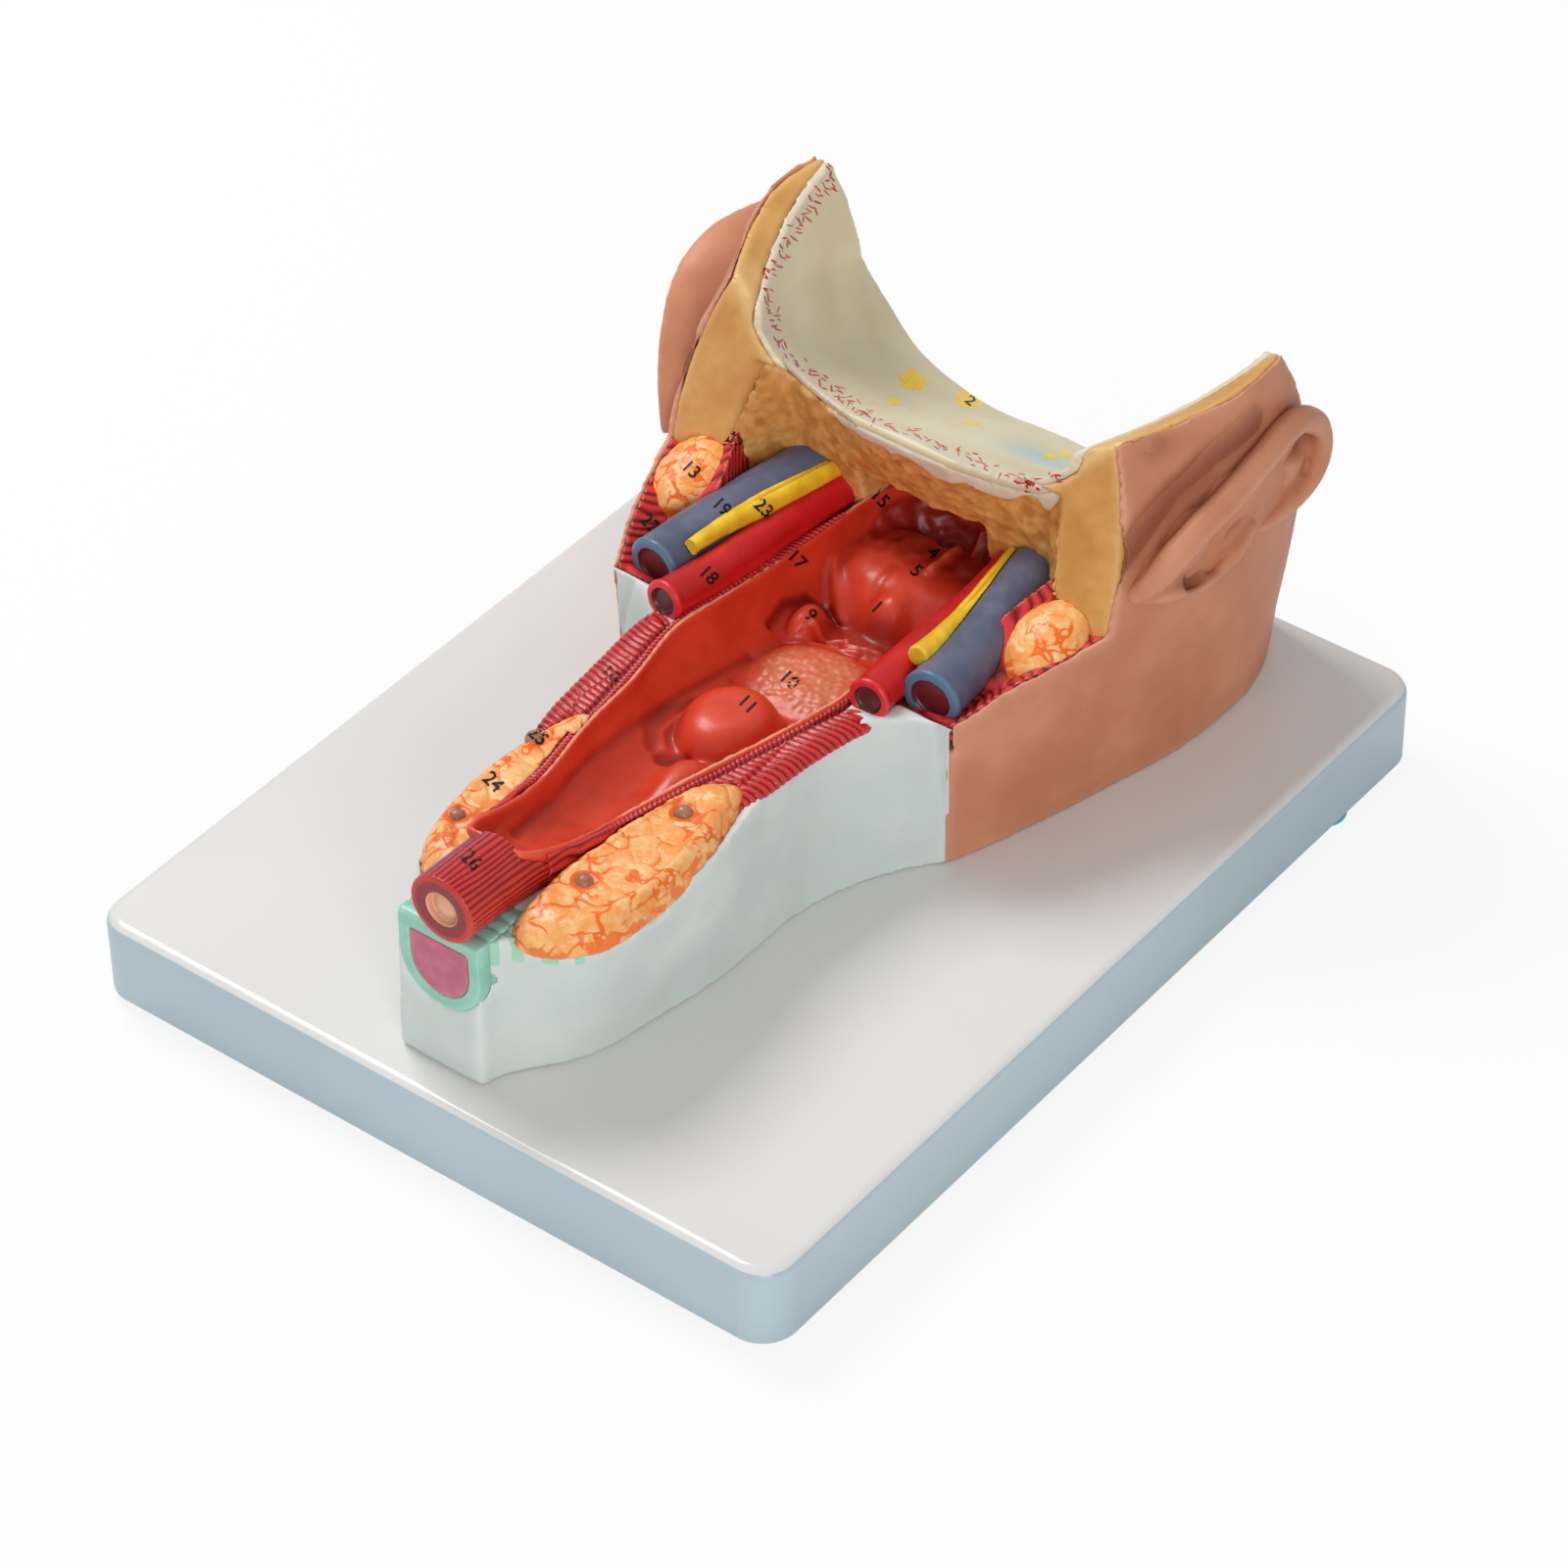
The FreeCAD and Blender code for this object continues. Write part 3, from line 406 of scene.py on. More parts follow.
overlays = {
    # painted shade in the valley behind the ear and in the ear's grooves
    "skin": [("dark", "#8F4F3A", 0)],
    "neck_block": [("mint", "#A5D6BE", 0.3), ("smudge", "#C8CDBD", 0)],
    "fat_tan": [("pale", "#E6BE80", 0)],
    # bone: darker mottle in random patches
    "bone_ochre": [("deep", "#B87736", 0), ("band", "#DCD0BA", 0.15)],
    "dura_cream": [("band", "#DCD0BA", 0), ("cool", "#A9C9CB", 0)],
    # painted shade in the throat's recesses, under the palate's lip and along its grooves
    "mucosa_red": [("deep", "#84150F", 0), ("pale", "#DC8C66", 0), ("rim", "#E9977A", 0.25)],
    # painted shade in the furrows and a painted highlight on the rib crowns
    "muscle_red": [("furrow", "#64070D", 0), ("crown", "#E04440", 0), ("purple", "#8E2A4E", 0),
                   ("wall", "#8A1420", 0.1), ("lumen", "#E2AC8C", 0.1)],
    "artery_red": [("lip", "#DC2A30", 0), ("lumen", "#5E2022", 0.1)],
    "vein_blue": [("lip", "#557594", 0.2), ("lumen", "#6A2024", 0.1)],
    "gland_orange": [("haze", "#F88E36", 0), ("vein", "#F2701F", 0.35), ("halo", "#F0661C", 0.2),
                     ("edge", "#F27A26", 0.4)],
    "nerve_yellow": [("strand", "#D9A416", 0)],
}
materials = {slot: paintedVinyl("painted vinyl, " + slot.replace("_", " "), look, overlays.get(slot, ()))
             for slot, look in looks.items()}
materials.update({slot: evenFinish(*finish) for slot, finish in evenFinishes.items()})
slotOf = {part["node"]: part["material_slot"] for part in frame["record"]["subparts"]}

# Pieces whose solid is already right
for node, shown in frame["nodes"].items():
    for k in range(len(shown.data.materials)):
        shown.data.materials[k] = materials[slotOf[node]]
print("materials")


def softPiece(name, slot, nodes, recipe, extraForms=None, sculptForm=None):
    # one skin over CAD solids: joined, relaxed, sculpted, then its creases painted with wash and painted
    # shade and its ridges with a painted highlight
    bm = bmesh.new()
    nodeForm(bm, *nodes)
    if extraForms:
        extraForms(bm)
    piece = addPiece(name, bm)
    remeshSkin(piece, recipe["voxel"], recipe["passes"])
    swell(piece, np.full(len(piece.data.vertices), recipe["grow"]))
    if sculptForm:
        sculptForm(piece)
    paintCreases(piece, recipe.get("creasePasses", 12), recipe.get("creaseDepth", 0.5))
    return finishPiece(piece, slot, materials[slot], *nodes)


def acrossX(spots):
    # both sides measured as if on the right
    return np.column_stack([np.abs(spots[:, 0]), spots[:, 1], spots[:, 2]])


# Pharynx: station, half width of the opening and height of its rim, as shares
rimShares = [(-0.408, 0.085, 0.572), (-0.392, 0.104, 0.552), (-0.348, 0.118, 0.512), (-0.280, 0.138, 0.484),
             (-0.200, 0.188, 0.483), (-0.105, 0.238, 0.460), (-0.020, 0.290, 0.457), (0.050, 0.284, 0.439),
             (0.140, 0.275, 0.416), (0.214, 0.262, 0.412), (0.268, 0.232, 0.430)]
rimLine = [tuple(at(width, station, rim) / mm + Vector((0.9, 0, 0))) for station, width, rim in rimShares]

mucosaRecipe = {"voxel": 0.62, "passes": 3, "raisedPasses": 4, "creasePasses": 14, "creaseDepth": 0.6,
                "wallShare": 0.55}

# What rises from the floor: middle, half width, reach forwards and back, top, fall at that reach, squareness
# and how softly it meets the rest
floorForms = {
    "palate": ((0, 61.5), 27, 16.0, 26, 59.5, 7.0, 3.6, 7.0),
    "uvula": ((2.0, 47.5), 5.5, 5.0, 9, 58.4, 4.0, 2.0, 3.0),
    "left turbinate": ((-5.0, 68), 6.0, 7, 9, 60.5, 6.0, 2.2, 2.5),
    "right turbinate": ((12.0, 68), 6.0, 7, 9, 60.5, 6.0, 2.2, 2.5),
    "left tonsil": ((-14.4, 34.0), 4.4, 7.4, 6.6, 55.4, 5.0, 2.8, 2.0),
    "right tonsil": ((14.4, 34.0), 4.4, 7.4, 6.6, 54.6, 5.0, 2.8, 2.0),
    "throat folds": ((1.0, 37.0), 12, 7, 8, 49.5, 3.5, 2.2, 2.5),
    "tongue root": ((0.5, 16.5), 22, 15.5, 16.0, 52.8, 5.0, 3.4, 2.5),
    "epiglottis": ((-1.0, -13.5), 12.5, 15.5, 13.0, 62.6, 7.5, 4.4, 2.2),
    "arytenoid": ((4.6, -39), 7.6, 20, 10.0, 63.2, 7.0, 2.2, 3.5),
}
# Lines on the floor: width, rise and painted shading (shade above zero, highlight below zero), then places
# across and along
throatLines = {
    "left arch": (2.0, 1.5, 0, [(-20.5, 52.5), (-17.0, 49.5), (-13.5, 46.5), (-10.5, 43.6)]),
    "right arch": (1.8, 1.2, 0, [(19.5, 51.5), (16.5, 48.5), (13.8, 45.0)]),
    "over tonsil": (0.9, -0.7, 0.9, [(-19.2, 25.0), (-20.2, 33.0), (-18.8, 40.5), (-14.5, 43.4),
                                     (-10.5, 41.8)]),
    "wrinkle one": (0.7, 0.8, -0.25, [(-11.5, 32.5), (-8.0, 34.0), (-3.5, 36.0)]),
    "wrinkle two": (0.8, 0.9, -0.25, [(-9.5, 29.8), (-4.0, 32.0), (1.5, 33.8)]),
    "wrinkle three": (0.7, 0.8, 0, [(-3.5, 34.2), (1.5, 35.8), (6.5, 36.8)]),
    "palate crease": (1.5, -0.45, 0, [(-3.9, 47.0), (-4.8, 51.5), (-4.2, 57.0)]),
    "septum": (1.5, 1.9, 0, [(4.5, 60.5), (4.7, 68.0), (4.6, 84.0)]),
    "leaf edge": (1.0, 0.65, 0, [(-3.5, -1.5), (-8.5, -5.0), (-12.0, -11.0), (-13.4, -19.0), (-12.4, -26.5),
                                 (-8.6, -30.5)]),
    "leaf gutter": (1.3, -0.4, 0.35, [(-5.5, 1.2), (-11.0, -3.0), (-14.8, -10.0), (-16.0, -19.0),
                                      (-15.0, -28.0), (-10.5, -33.0)]),
    "far crease": (1.1, -0.65, 0.35, [(-6.5, -88), (-9.5, -72.0), (-13.2, -55.0), (-15.2, -36.0),
                                      (-17.4, -12.0), (-16.8, 14.0)]),
    "near crease": (1.3, -0.5, 0.3, [(5.5, -88), (8.8, -72), (11.5, -55)]),
    "notch": (1.7, -2.4, 0.95, [(-6.2, -33.5), (-4.6, -31.6), (-2.6, -30.6)]),
    "tongue crease": (1.0, -0.35, 0, [(-14.5, 4), (-16.0, 14), (-14.8, 24), (-12.0, 29)]),
}


def softMax(first, second, width):
    share = np.clip(0.5 + 0.5 * (first - second) / width, 0, 1)
    return first * share + second * (1 - share) + width * share * (1 - share)


def insideThroat(piece):
    spots = places(piece)
    halfOpening = np.interp(spots[:, 1], [p[1] for p in rimLine], [p[0] for p in rimLine])
    return step(halfOpening - np.abs(spots[:, 0]), 0.4, 2.4) * step(facings(piece)[:, 2], 0.0, 0.2)


def raiseFloor(piece):
    spots = places(piece)
    raised = spots[:, 2].copy()
    for (x, y), halfWidth, front, back, top, fall, power, softness in floorForms.values():
        along = spots[:, 1] - y
        reach = np.hypot((spots[:, 0] - x) / halfWidth, along / np.where(along < 0, front, back))
        raised = softMax(raised, top - fall * reach**power, softness)
    shifts = np.zeros_like(spots)
    shifts[:, 2] = (raised - spots[:, 2]) * insideThroat(piece) * step(78 - spots[:, 1], 0, 8)
    press(piece, shifts)
    remeshSkin(piece, mucosaRecipe["voxel"], mucosaRecipe["raisedPasses"])


def wallBehind(piece):
    # thickness of the wall below each place, so that no groove cuts through it
    graph = bpy.context.evaluated_depsgraph_get()
    thickness = []
    for spot, normal in zip(places(piece), facings(piece)):
        inwards = -Vector(normal)
        met, far, _, _ = piece.ray_cast(Vector(spot) * mm + inwards * 0.05 * mm, inwards, depsgraph=graph)
        thickness.append((far - Vector(spot) * mm).length / mm if met else 0.0)
    return np.array(thickness)


def sculptMucosa(piece):
    raiseFloor(piece)
    spots = places(piece)
    ground = spots[:, :2]
    inside = insideThroat(piece)
    near = {name: lineMask(ground, line, width) for name, (width, _, _, line) in throatLines.items()}
    tongue = step(1 - np.hypot((spots[:, 0] - 0.5) / 17, (spots[:, 1] - 17) / 15), 0, 0.35)
    papillae = np.zeros(len(spots))
    grainy = tongue > 0.02
    papillae[grainy] = step(cellEdges(spots[grainy], 2.2, 0.6, 3), 0.0, 0.5)
    throat = spotMask(ground, (0, 34.0), (14, 4.2))
    recess = step(spots[:, 1], 57, 65)
    heights = 0.42 * tongue * (papillae - 0.5) + 0.35 * tongue * lumps(spots, 4.0, 5)
    heights += 0.55 * throat * lumps(spots, 2.4, 2) + 0.8 * recess * lumps(spots, 3.8, 9)
    heights += sum(rise * near[name] for name, (_, rise, _, _) in throatLines.items())
    folds = step(-spots[:, 1], 40, 70)
    heights += folds * 0.35 * lumps(spots * np.array([0.33, 0.05, 0.33]), 1.0, 7) + 0.22 * lumps(spots, 9, 4)
    heights *= inside
    heights = np.maximum(heights, -mucosaRecipe["wallShare"] * wallBehind(piece))
    swell(piece, heights)
    spots = places(piece)
    # painted shade under the palate's lip, in the nasal recess and along grooves; painted highlight on the
    # septum and wrinkles
    underLip = spotMask(ground, (1.5, 39.5), (13.5, 5.0)) * step(57 - spots[:, 2], 0, 4)
    deep = 0.7 * recess + 0.75 * underLip - 0.9 * near["septum"] * recess
    deep += sum(paintedShading * near[name] for name, (_, _, paintedShading, _) in throatLines.items())
    paint(piece, "deep", np.clip(deep * inside, 0, 1))
    paint(piece, "pale", np.clip(tongue * (0.55 + 0.2 * papillae + 0.3 * lumps(spots, 4.4, 8)), 0, 1))
    rim = lineMask(acrossX(spots), rimLine, 0.8) * step(facings(piece)[:, 2], 0.1, 0.6)
    fading = 0.35 + 0.65 * step(spots[:, 1], -95, -50)
    frontLip = lineMask(spots, [(-6.5, -102.5, 83), (0, -103.5, 82), (6.5, -102.5, 82.5)], 0.9)
    paint(piece, "rim", np.clip(rim * fading + 0.5 * frontLip, 0, 1))


bm = bmesh.new()
nodeForm(bm, "pharynx_lining")
mucosa = addPiece("mucosa", bm)
remeshSkin(mucosa, mucosaRecipe["voxel"], mucosaRecipe["passes"])
sculptMucosa(mucosa)
paintCreases(mucosa, mucosaRecipe["creasePasses"], mucosaRecipe["creaseDepth"])
finishPiece(mucosa, "mucosa_red", materials["mucosa_red"], "pharynx_lining", "soft_palate", "tongue_root",
            "epiglottis", "arytenoid_fold", "tonsil_left", "tonsil_right")
print("mucosa")

# Constrictors: cross ribs in two bands, with long fibres where they run out from the esophagus
constrictorRecipe = {"voxel": 0.34, "passes": 2, "grow": 0.05, "ribPitch": 2.1, "thinPitch": 1.45,
                     "fibrePitch": 1.3, "ribHeight": 0.5, "grooveAt": 3.3, "grooveWidth": 0.55,
                     "grooveDepth": 0.8, "creasePasses": 6, "creaseDepth": 0.3}
# Middle, half width and top of the outer band where it lies on the neck
outerBand = [(-55, 26.0, 2.5, 69.2), (-47, 26.0, 4.0, 70.4), (-36, 26.4, 4.8, 70.8), (-24, 27.2, 5.2, 70.9),
             (-14, 28.2, 5.6, 70.6), (-8, 29.0, 5.6, 70.0), (-3, 29.8, 5.2, 69.0), (2, 30.2, 4.4, 68.0)]


def addOuterBand(side):
    def addBand(bm):
        sign = 1 if side == "right" else -1
        for y in np.arange(outerBand[0][0], outerBand[-1][0], 1.6):
            middle, halfWidth, top = rowAt(outerBand, float(y))
            addBlobs(bm, [((sign * middle, float(y), top - 2.2), (halfWidth, 2.6, 2.2))])
    return addBand


def sculptConstrictor(piece):
    recipe = constrictorRecipe
    spots = acrossX(places(piece))
    lengths, _ = lengthsAlong(spots, rimLine)
    rimX = np.interp(spots[:, 1], [p[1] for p in rimLine], [p[0] for p in rimLine])
    rimZ = np.interp(spots[:, 1], [p[1] for p in rimLine], [p[2] for p in rimLine])
    outward = spots[:, 0] - rimX + 0.35 * np.clip(rimZ - spots[:, 2], 0, 9)
    wander = 0.5 * lumps(spots, 6, 11)
    outer = step(outward, recipe["grooveAt"] - 0.3, recipe["grooveAt"] + 0.3)
    ribs = (1 - outer) * np.abs(np.sin(math.pi * (lengths + 0.5 * outward + wander) / recipe["thinPitch"]))
    ribs += outer * np.abs(np.sin(math.pi * (lengths - 0.35 * outward + wander) / recipe["ribPitch"]))
    fibres = np.abs(np.sin(math.pi * (outward + 2 * wander + 0.02 * lengths) / recipe["fibrePitch"]))
    front = step(-spots[:, 1], 70, 82)
    ribs = ribs * (1 - front) + fibres * front
    groove = np.exp(-((outward - recipe["grooveAt"]) / recipe["grooveWidth"])**2) * (1 - front)
    groove *= step(-spots[:, 1], -12, -2)
    swell(piece, recipe["ribHeight"] * (ribs**0.7 - 0.6) - recipe["grooveDepth"] * groove)
    # painted shade in the furrows and the groove, painted highlight on the crowns
    paint(piece, "furrow", np.clip(0.9 * (1 - ribs)**1.6 + groove, 0, 1))
    paint(piece, "crown", np.clip(ribs - 0.55, 0, 1) * 1.2)


def fanFibres(centre, pitchDegrees):
    def sculpt(piece):
        spots = acrossX(places(piece))
        turn = np.degrees(np.arctan2(spots[:, 1] - centre[1], centre[2] - spots[:, 2]))
        ribs = np.abs(np.sin(math.pi * (turn + 3 * lumps(spots, 5, 5)) / pitchDegrees))
        swell(piece, 0.35 * (ribs**0.7 - 0.6))
        # painted shade in the furrows, painted highlight on the crowns
        paint(piece, "furrow", np.clip(1 - ribs, 0, 1)**1.3)
        paint(piece, "crown", np.clip(ribs - 0.55, 0, 1) * 1.4)
    return sculpt


def bedFibres(piece):
    spots = acrossX(places(piece))
    ribs = np.abs(np.sin(math.pi * (spots[:, 2] + 0.55 * spots[:, 1] + 1.2 * lumps(spots, 6, 9)) / 2.1))
    jointGap = step(-facings(piece)[:, 1], 0.5, 0.9) * step(14 - spots[:, 1], 0, 6)
    swell(piece, 0.3 * (ribs**0.7 - 0.6) - jointGap)
    # painted shade in the furrows, painted highlight on the crowns
    paint(piece, "furrow", np.clip(1 - ribs, 0, 1)**1.2)
    paint(piece, "crown", np.clip(ribs - 0.55, 0, 1) * 1.3)


fibreRecipe = {"voxel": 0.38, "passes": 2, "grow": 0.1, "creasePasses": 6, "creaseDepth": 0.25}
for side in ("left", "right"):
    softPiece("constrictor_strip_" + side, "muscle_red", ["constrictor_" + side], constrictorRecipe,
              addOuterBand(side), sculptConstrictor)
    softPiece("wedge_muscle_" + side, "muscle_red", ["digastric_muscle_" + side], fibreRecipe,
              sculptForm=fanFibres((50, 55, 100), 5.5))
    softPiece("muscle_bed_skin_" + side, "muscle_red", ["muscle_bed_" + side], fibreRecipe,
              sculptForm=bedFibres)
print("muscles")

# Esophagus: long ribs round a peach lumen
gulletRecipe = {"voxel": 0.36, "passes": 2, "grow": 0.05, "ribPitch": 1.5, "ribHeight": 0.3,
                "creasePasses": 6, "creaseDepth": 0.25, "radius": 9.3, "wallRadius": 7.6, "lumenRadius": 4.7}
gulletLine = [(3.2, -125.5, 78.4), (2.08, -112.5, 76.4), (0.8, -92.0, 72.2)]


def fillLumen(bm):
    addBlobs(bm, [((3.2, -122.0, 78.2), (4.6, 2.6, 4.6))])


def sculptGullet(piece):
    recipe = gulletRecipe
    spots = places(piece)
    centres = np.column_stack([np.interp(spots[:, 1], [p[1] for p in gulletLine], [p[k] for p in gulletLine])
                               for k in (0, 2)])
    across, up = spots[:, 0] - centres[:, 0], spots[:, 2] - centres[:, 1]
    reach = np.hypot(across, up)
    turn = np.arctan2(across, up) * recipe["radius"]
    wander = lumps(spots * np.array([1, 0.3, 1]), 6, 6)
    ribs = np.abs(np.sin(math.pi * (turn + wander) / recipe["ribPitch"]))
    front = step(-spots[:, 1], 124.6, 125.2)
    flank = step(reach, 8.3, 8.9) * (1 - front)
    swell(piece, flank * recipe["ribHeight"] * (ribs**0.7 - 0.7))
    # painted shade in the furrows, painted highlight on the crowns
    paint(piece, "furrow", flank * np.clip(1 - ribs, 0, 1)**1.5)
    paint(piece, "crown", flank * np.clip(ribs - 0.55, 0, 1) * 1.2)
    paint(piece, "purple", 0.8 * flank * step(-across, 1.0, 6.0) * step(up, 0.5, 5))
    paint(piece, "wall", front * step(recipe["wallRadius"] - reach, -0.3, 0.3) * 0.85)
    paint(piece, "lumen", step(recipe["lumenRadius"] - reach, -0.2, 0.2) * step(-spots[:, 1], 118, 119))


softPiece("esophagus_tube", "muscle_red", ["esophagus"], gulletRecipe, fillLumen, sculptGullet)

# Vessels: front end, second point, bore radius and material slot
vesselRecipe = {"voxel": 0.40, "passes": 3, "grow": 0.05, "creasePasses": 8, "creaseDepth": 0.5,
                "discAt": 3.2, "discDepth": 4.0, "discOverlap": 0.5, "lipHeight": 0.25}
vesselEnds = {
    "carotid_artery": ((31.36, -1.5, 72.3), (29.76, 15.0, 70.8), 3.5, "artery_red"),
    "jugular_vein": ((42.4, 8.75, 71.3), (40.96, 25.0, 71.6), 5.1, "vein_blue"),
}


def fillBore(kind, side):
    front, after, bore, _ = vesselEnds[kind]

    def fill(bm):
        direction = (Vector(after) - Vector(front)).normalized()
        across = Vector((1 if side == "right" else -1, 1, 1))
        middle = (Vector(front) + direction * vesselRecipe["discAt"]) * across
        pose = Matrix.Translation(middle) @ (direction * across).to_track_quat("Z", "Y").to_matrix().to_4x4()
        radius = bore + vesselRecipe["discOverlap"]
        bmesh.ops.create_cone(bm, cap_ends=True, segments=40, radius1=radius, radius2=radius,
                              depth=vesselRecipe["discDepth"], matrix=Matrix.Scale(mm, 4) @ pose)
    return fill


def vesselPainter(kind):
    front, after, bore, _ = vesselEnds[kind]

    def sculpt(piece):
        spots = acrossX(places(piece)) - np.array(front)
        direction = np.array(Vector(after) - Vector(front))
        direction /= np.linalg.norm(direction)
        along = spots @ direction
        reach = np.linalg.norm(spots - along[:, None] * direction, axis=1)
        lumen = step(bore + 0.35 - reach, -0.15, 0.15) * step(10 - along, 0, 1)
        lip = (1 - lumen) * step(1.4 - along, 0, 1.0)
        bulge = vesselRecipe["lipHeight"] * np.exp(-((along - 0.8) / 0.9)**2) * (1 - lumen)
        swell(piece, bulge + 0.12 * lumps(spots, 7, 12))
        paint(piece, "lumen", lumen)
        paint(piece, "lip", lip)
    return sculpt


nerveRecipe = {"voxel": 0.34, "passes": 3, "grow": 0.0, "creasePasses": 8, "creaseDepth": 0.4}
nerveWidths = {"left": [(0.0, -0.75), (0.15, -0.45), (0.45, 0.45), (0.75, 0.35), (1.0, 0.2)],
               "right": [(0.0, 0.25), (0.12, 0.1), (0.35, -0.35), (0.7, -0.45), (1.0, -0.2)]}


def nervePainter(side):
    def sculpt(piece):
        spots = places(piece)
        shares = (spots[:, 1] - 13.75) / (72.5 - 13.75)
        widths = nerveWidths[side]
        grow = np.interp(shares, [w[0] for w in widths], [w[1] for w in widths])
        strand = np.exp(-((acrossX(spots)[:, 0] - np.interp(spots[:, 1], [13.75, 30, 45, 72.5],
                        [34.96, 34.0, 31.6, 27.2])) / 0.5)**2) * step(shares, 0.25, 0.5)
        swell(piece, grow - 0.5 * strand + 0.15 * lumps(spots, 4, 3))
        paint(piece, "strand", strand * step(facings(piece)[:, 2], 0.2, 0.7))
    return sculpt


for side in ("left", "right"):
    for kind, ends in vesselEnds.items():
        softPiece(kind + "_wall_" + side, ends[3], [kind + "_" + side], vesselRecipe, fillBore(kind, side),
                  vesselPainter(kind))
    softPiece("nerve_cord_" + side, "nerve_yellow", ["vagus_nerve_" + side], nerveRecipe,
              sculptForm=nervePainter(side))
print("vessels")

# Glands: lobules outlined in orange over a peach ground
glandRecipe = {"voxel": 0.42, "passes": 5, "grow": 0.15, "cell": 7.0, "creasePasses": 10, "creaseDepth": 0.5}
beadPlaces = [(22.64, -61.25, 73.0), (19.2, -93.75, 72.6)]


def sculptGland(piece):
    spots = places(piece)
    edges = cellEdges(spots, glandRecipe["cell"], 3.2, 21)
    fine = cellEdges(spots, 3.1, 1.3, 31)
    borders = np.exp(-(edges / 0.085)**2)
    netting = np.exp(-(fine / 0.12)**2)
    swell(piece, 0.22 * step(edges, 0, 0.35) + 0.12 * step(fine, 0, 0.4) - 0.15 + 0.35 * lumps(spots, 11, 2))
    broken = step(lumps(spots, 6, 14), -0.35, 0.10)
    blush = step(lumps(spots, 7, 24), 0.02, 0.42)
    veins = borders * (0.25 + 0.7 * broken) + 0.65 * netting * blush + 0.2 * blush
    paint(piece, "vein", np.clip(veins, 0, 1))
    paint(piece, "haze", 0.65 * step(lumps(spots, 5.5, 44) + 0.5 * lumps(spots, 2.2, 45), -0.1, 0.55))
    halo = sum(np.exp(-((np.linalg.norm(acrossX(spots) - np.array(bead), axis=1) - 3.0) / 0.7)**2)
               for bead in beadPlaces)
    paint(piece, "halo", np.clip(halo, 0, 1))
    sides = step(0.62 - facings(piece)[:, 2], 0.0, 0.32) * (0.6 + 0.8 * lumps(spots, 4, 34))
    paint(piece, "edge", np.clip(sides, 0, 1) * 0.85)


beadRecipe = {"voxel": 0.3, "passes": 2, "grow": 0.25}
for side in ("left", "right"):
    for name, node in (("thyroid_", "thyroid_lobe_"), ("parotid_", "parotid_gland_")):
        softPiece(name + side, "gland_orange", [node + side], glandRecipe, sculptForm=sculptGland)
    softPiece("beads_" + side, "bead_brown", ["parathyroids_" + side], beadRecipe)
print("glands")

# Skull: pebbled bone under a dura sheet whose pale band laps over the cut edge
bandLine = [(-44.5, 108.5), (-38.7, 105.0), (-34.2, 100.4), (-26.5, 95.6), (-18, 96.4), (-12.1, 96.6),
            (-1.7, 97.4), (8.4, 95.4), (17.4, 94.5), (27.9, 93.4), (35.1, 96.7), (38.7, 94.6), (42, 99),
            (46.3, 104.9), (48.5, 118)]
boneRecipe = {"voxel": 0.72, "passes": 3, "grow": 0.12, "creasePasses": 10, "creaseDepth": 0.55}
duraRecipe = {"voxel": 0.72, "passes": 3, "grow": 0.12, "creasePasses": 20, "creaseDepth": 1.6}


def bandShare(spots):
    line = np.interp(spots[:, 0], [p[0] for p in bandLine], [p[1] for p in bandLine])
    line = line + 0.7 * np.sin(spots[:, 0] / 2.3) + 0.8 * lumps(spots * np.array([1, 0, 0]), 3.1, 5)
    return step(spots[:, 2] - line, -0.5, 0.5) * step(50 - np.abs(spots[:, 0]), 0, 2)


def sculptBone(piece):
    spots = places(piece)
    band = bandShare(spots)
    bumps = 0.75 * lumps(spots, 5.5, 1) + 0.4 * lumps(spots, 2.4, 2) + 0.18 * lumps(spots, 1.2, 3)
    swell(piece, bumps * (1 - 0.8 * band) + 0.2 * band)
    paint(piece, "band", band)
    # darker mottle in random patches
    paint(piece, "deep", 0.7 * step(-lumps(spots, 4.2, 17), 0.05, 0.5) * (1 - band))


def sculptDura(piece):
    spots = places(piece)
    edge = creaseDepths(piece, 25)
    swell(piece, 0.5 * lumps(spots, 16, 6) + 0.12 * lumps(spots, 5, 7))
    nearEdge = lineMask(spots, duraEdge, 3.2)
    paint(piece, "band", np.clip(1.3 * nearEdge + np.clip(-edge - 0.6, 0, 1), 0, 1))
    paint(piece, "cool", 0.85 * spotMask(spots, (7.5, 102, 71), (11, 10, 12)))


duraEdge = [(-67.9, 112.8, 124.1), (-64, 96.3, 122), (-59.3, 77.3, 120.7), (-52.6, 67.9, 118.5),
            (-47.5, 62.0, 106.5), (-42, 62.0, 101.5), (-36.5, 62.0, 98.0), (-28.6, 60.6, 98.0),
            (-20.4, 59.1, 99.2), (-12.7, 58.9, 100.5), (-0.2, 58.3, 101.2), (8.3, 59, 100.4),
            (15.8, 60.0, 98.4), (24, 61, 98), (32, 62, 99), (39.6, 57, 105.5), (44.6, 57, 111.2),
            (46, 58, 118)]
softPiece("bone_bowl", "bone_ochre", ["skull_base"], boneRecipe, sculptForm=sculptBone)
softPiece("dura_sheet", "dura_cream", ["dura_lining"], duraRecipe, sculptForm=sculptDura)
print("skull")

fatRecipe = {"voxel": 0.8, "passes": 3, "grow": 0.1, "creasePasses": 10, "creaseDepth": 0.7}


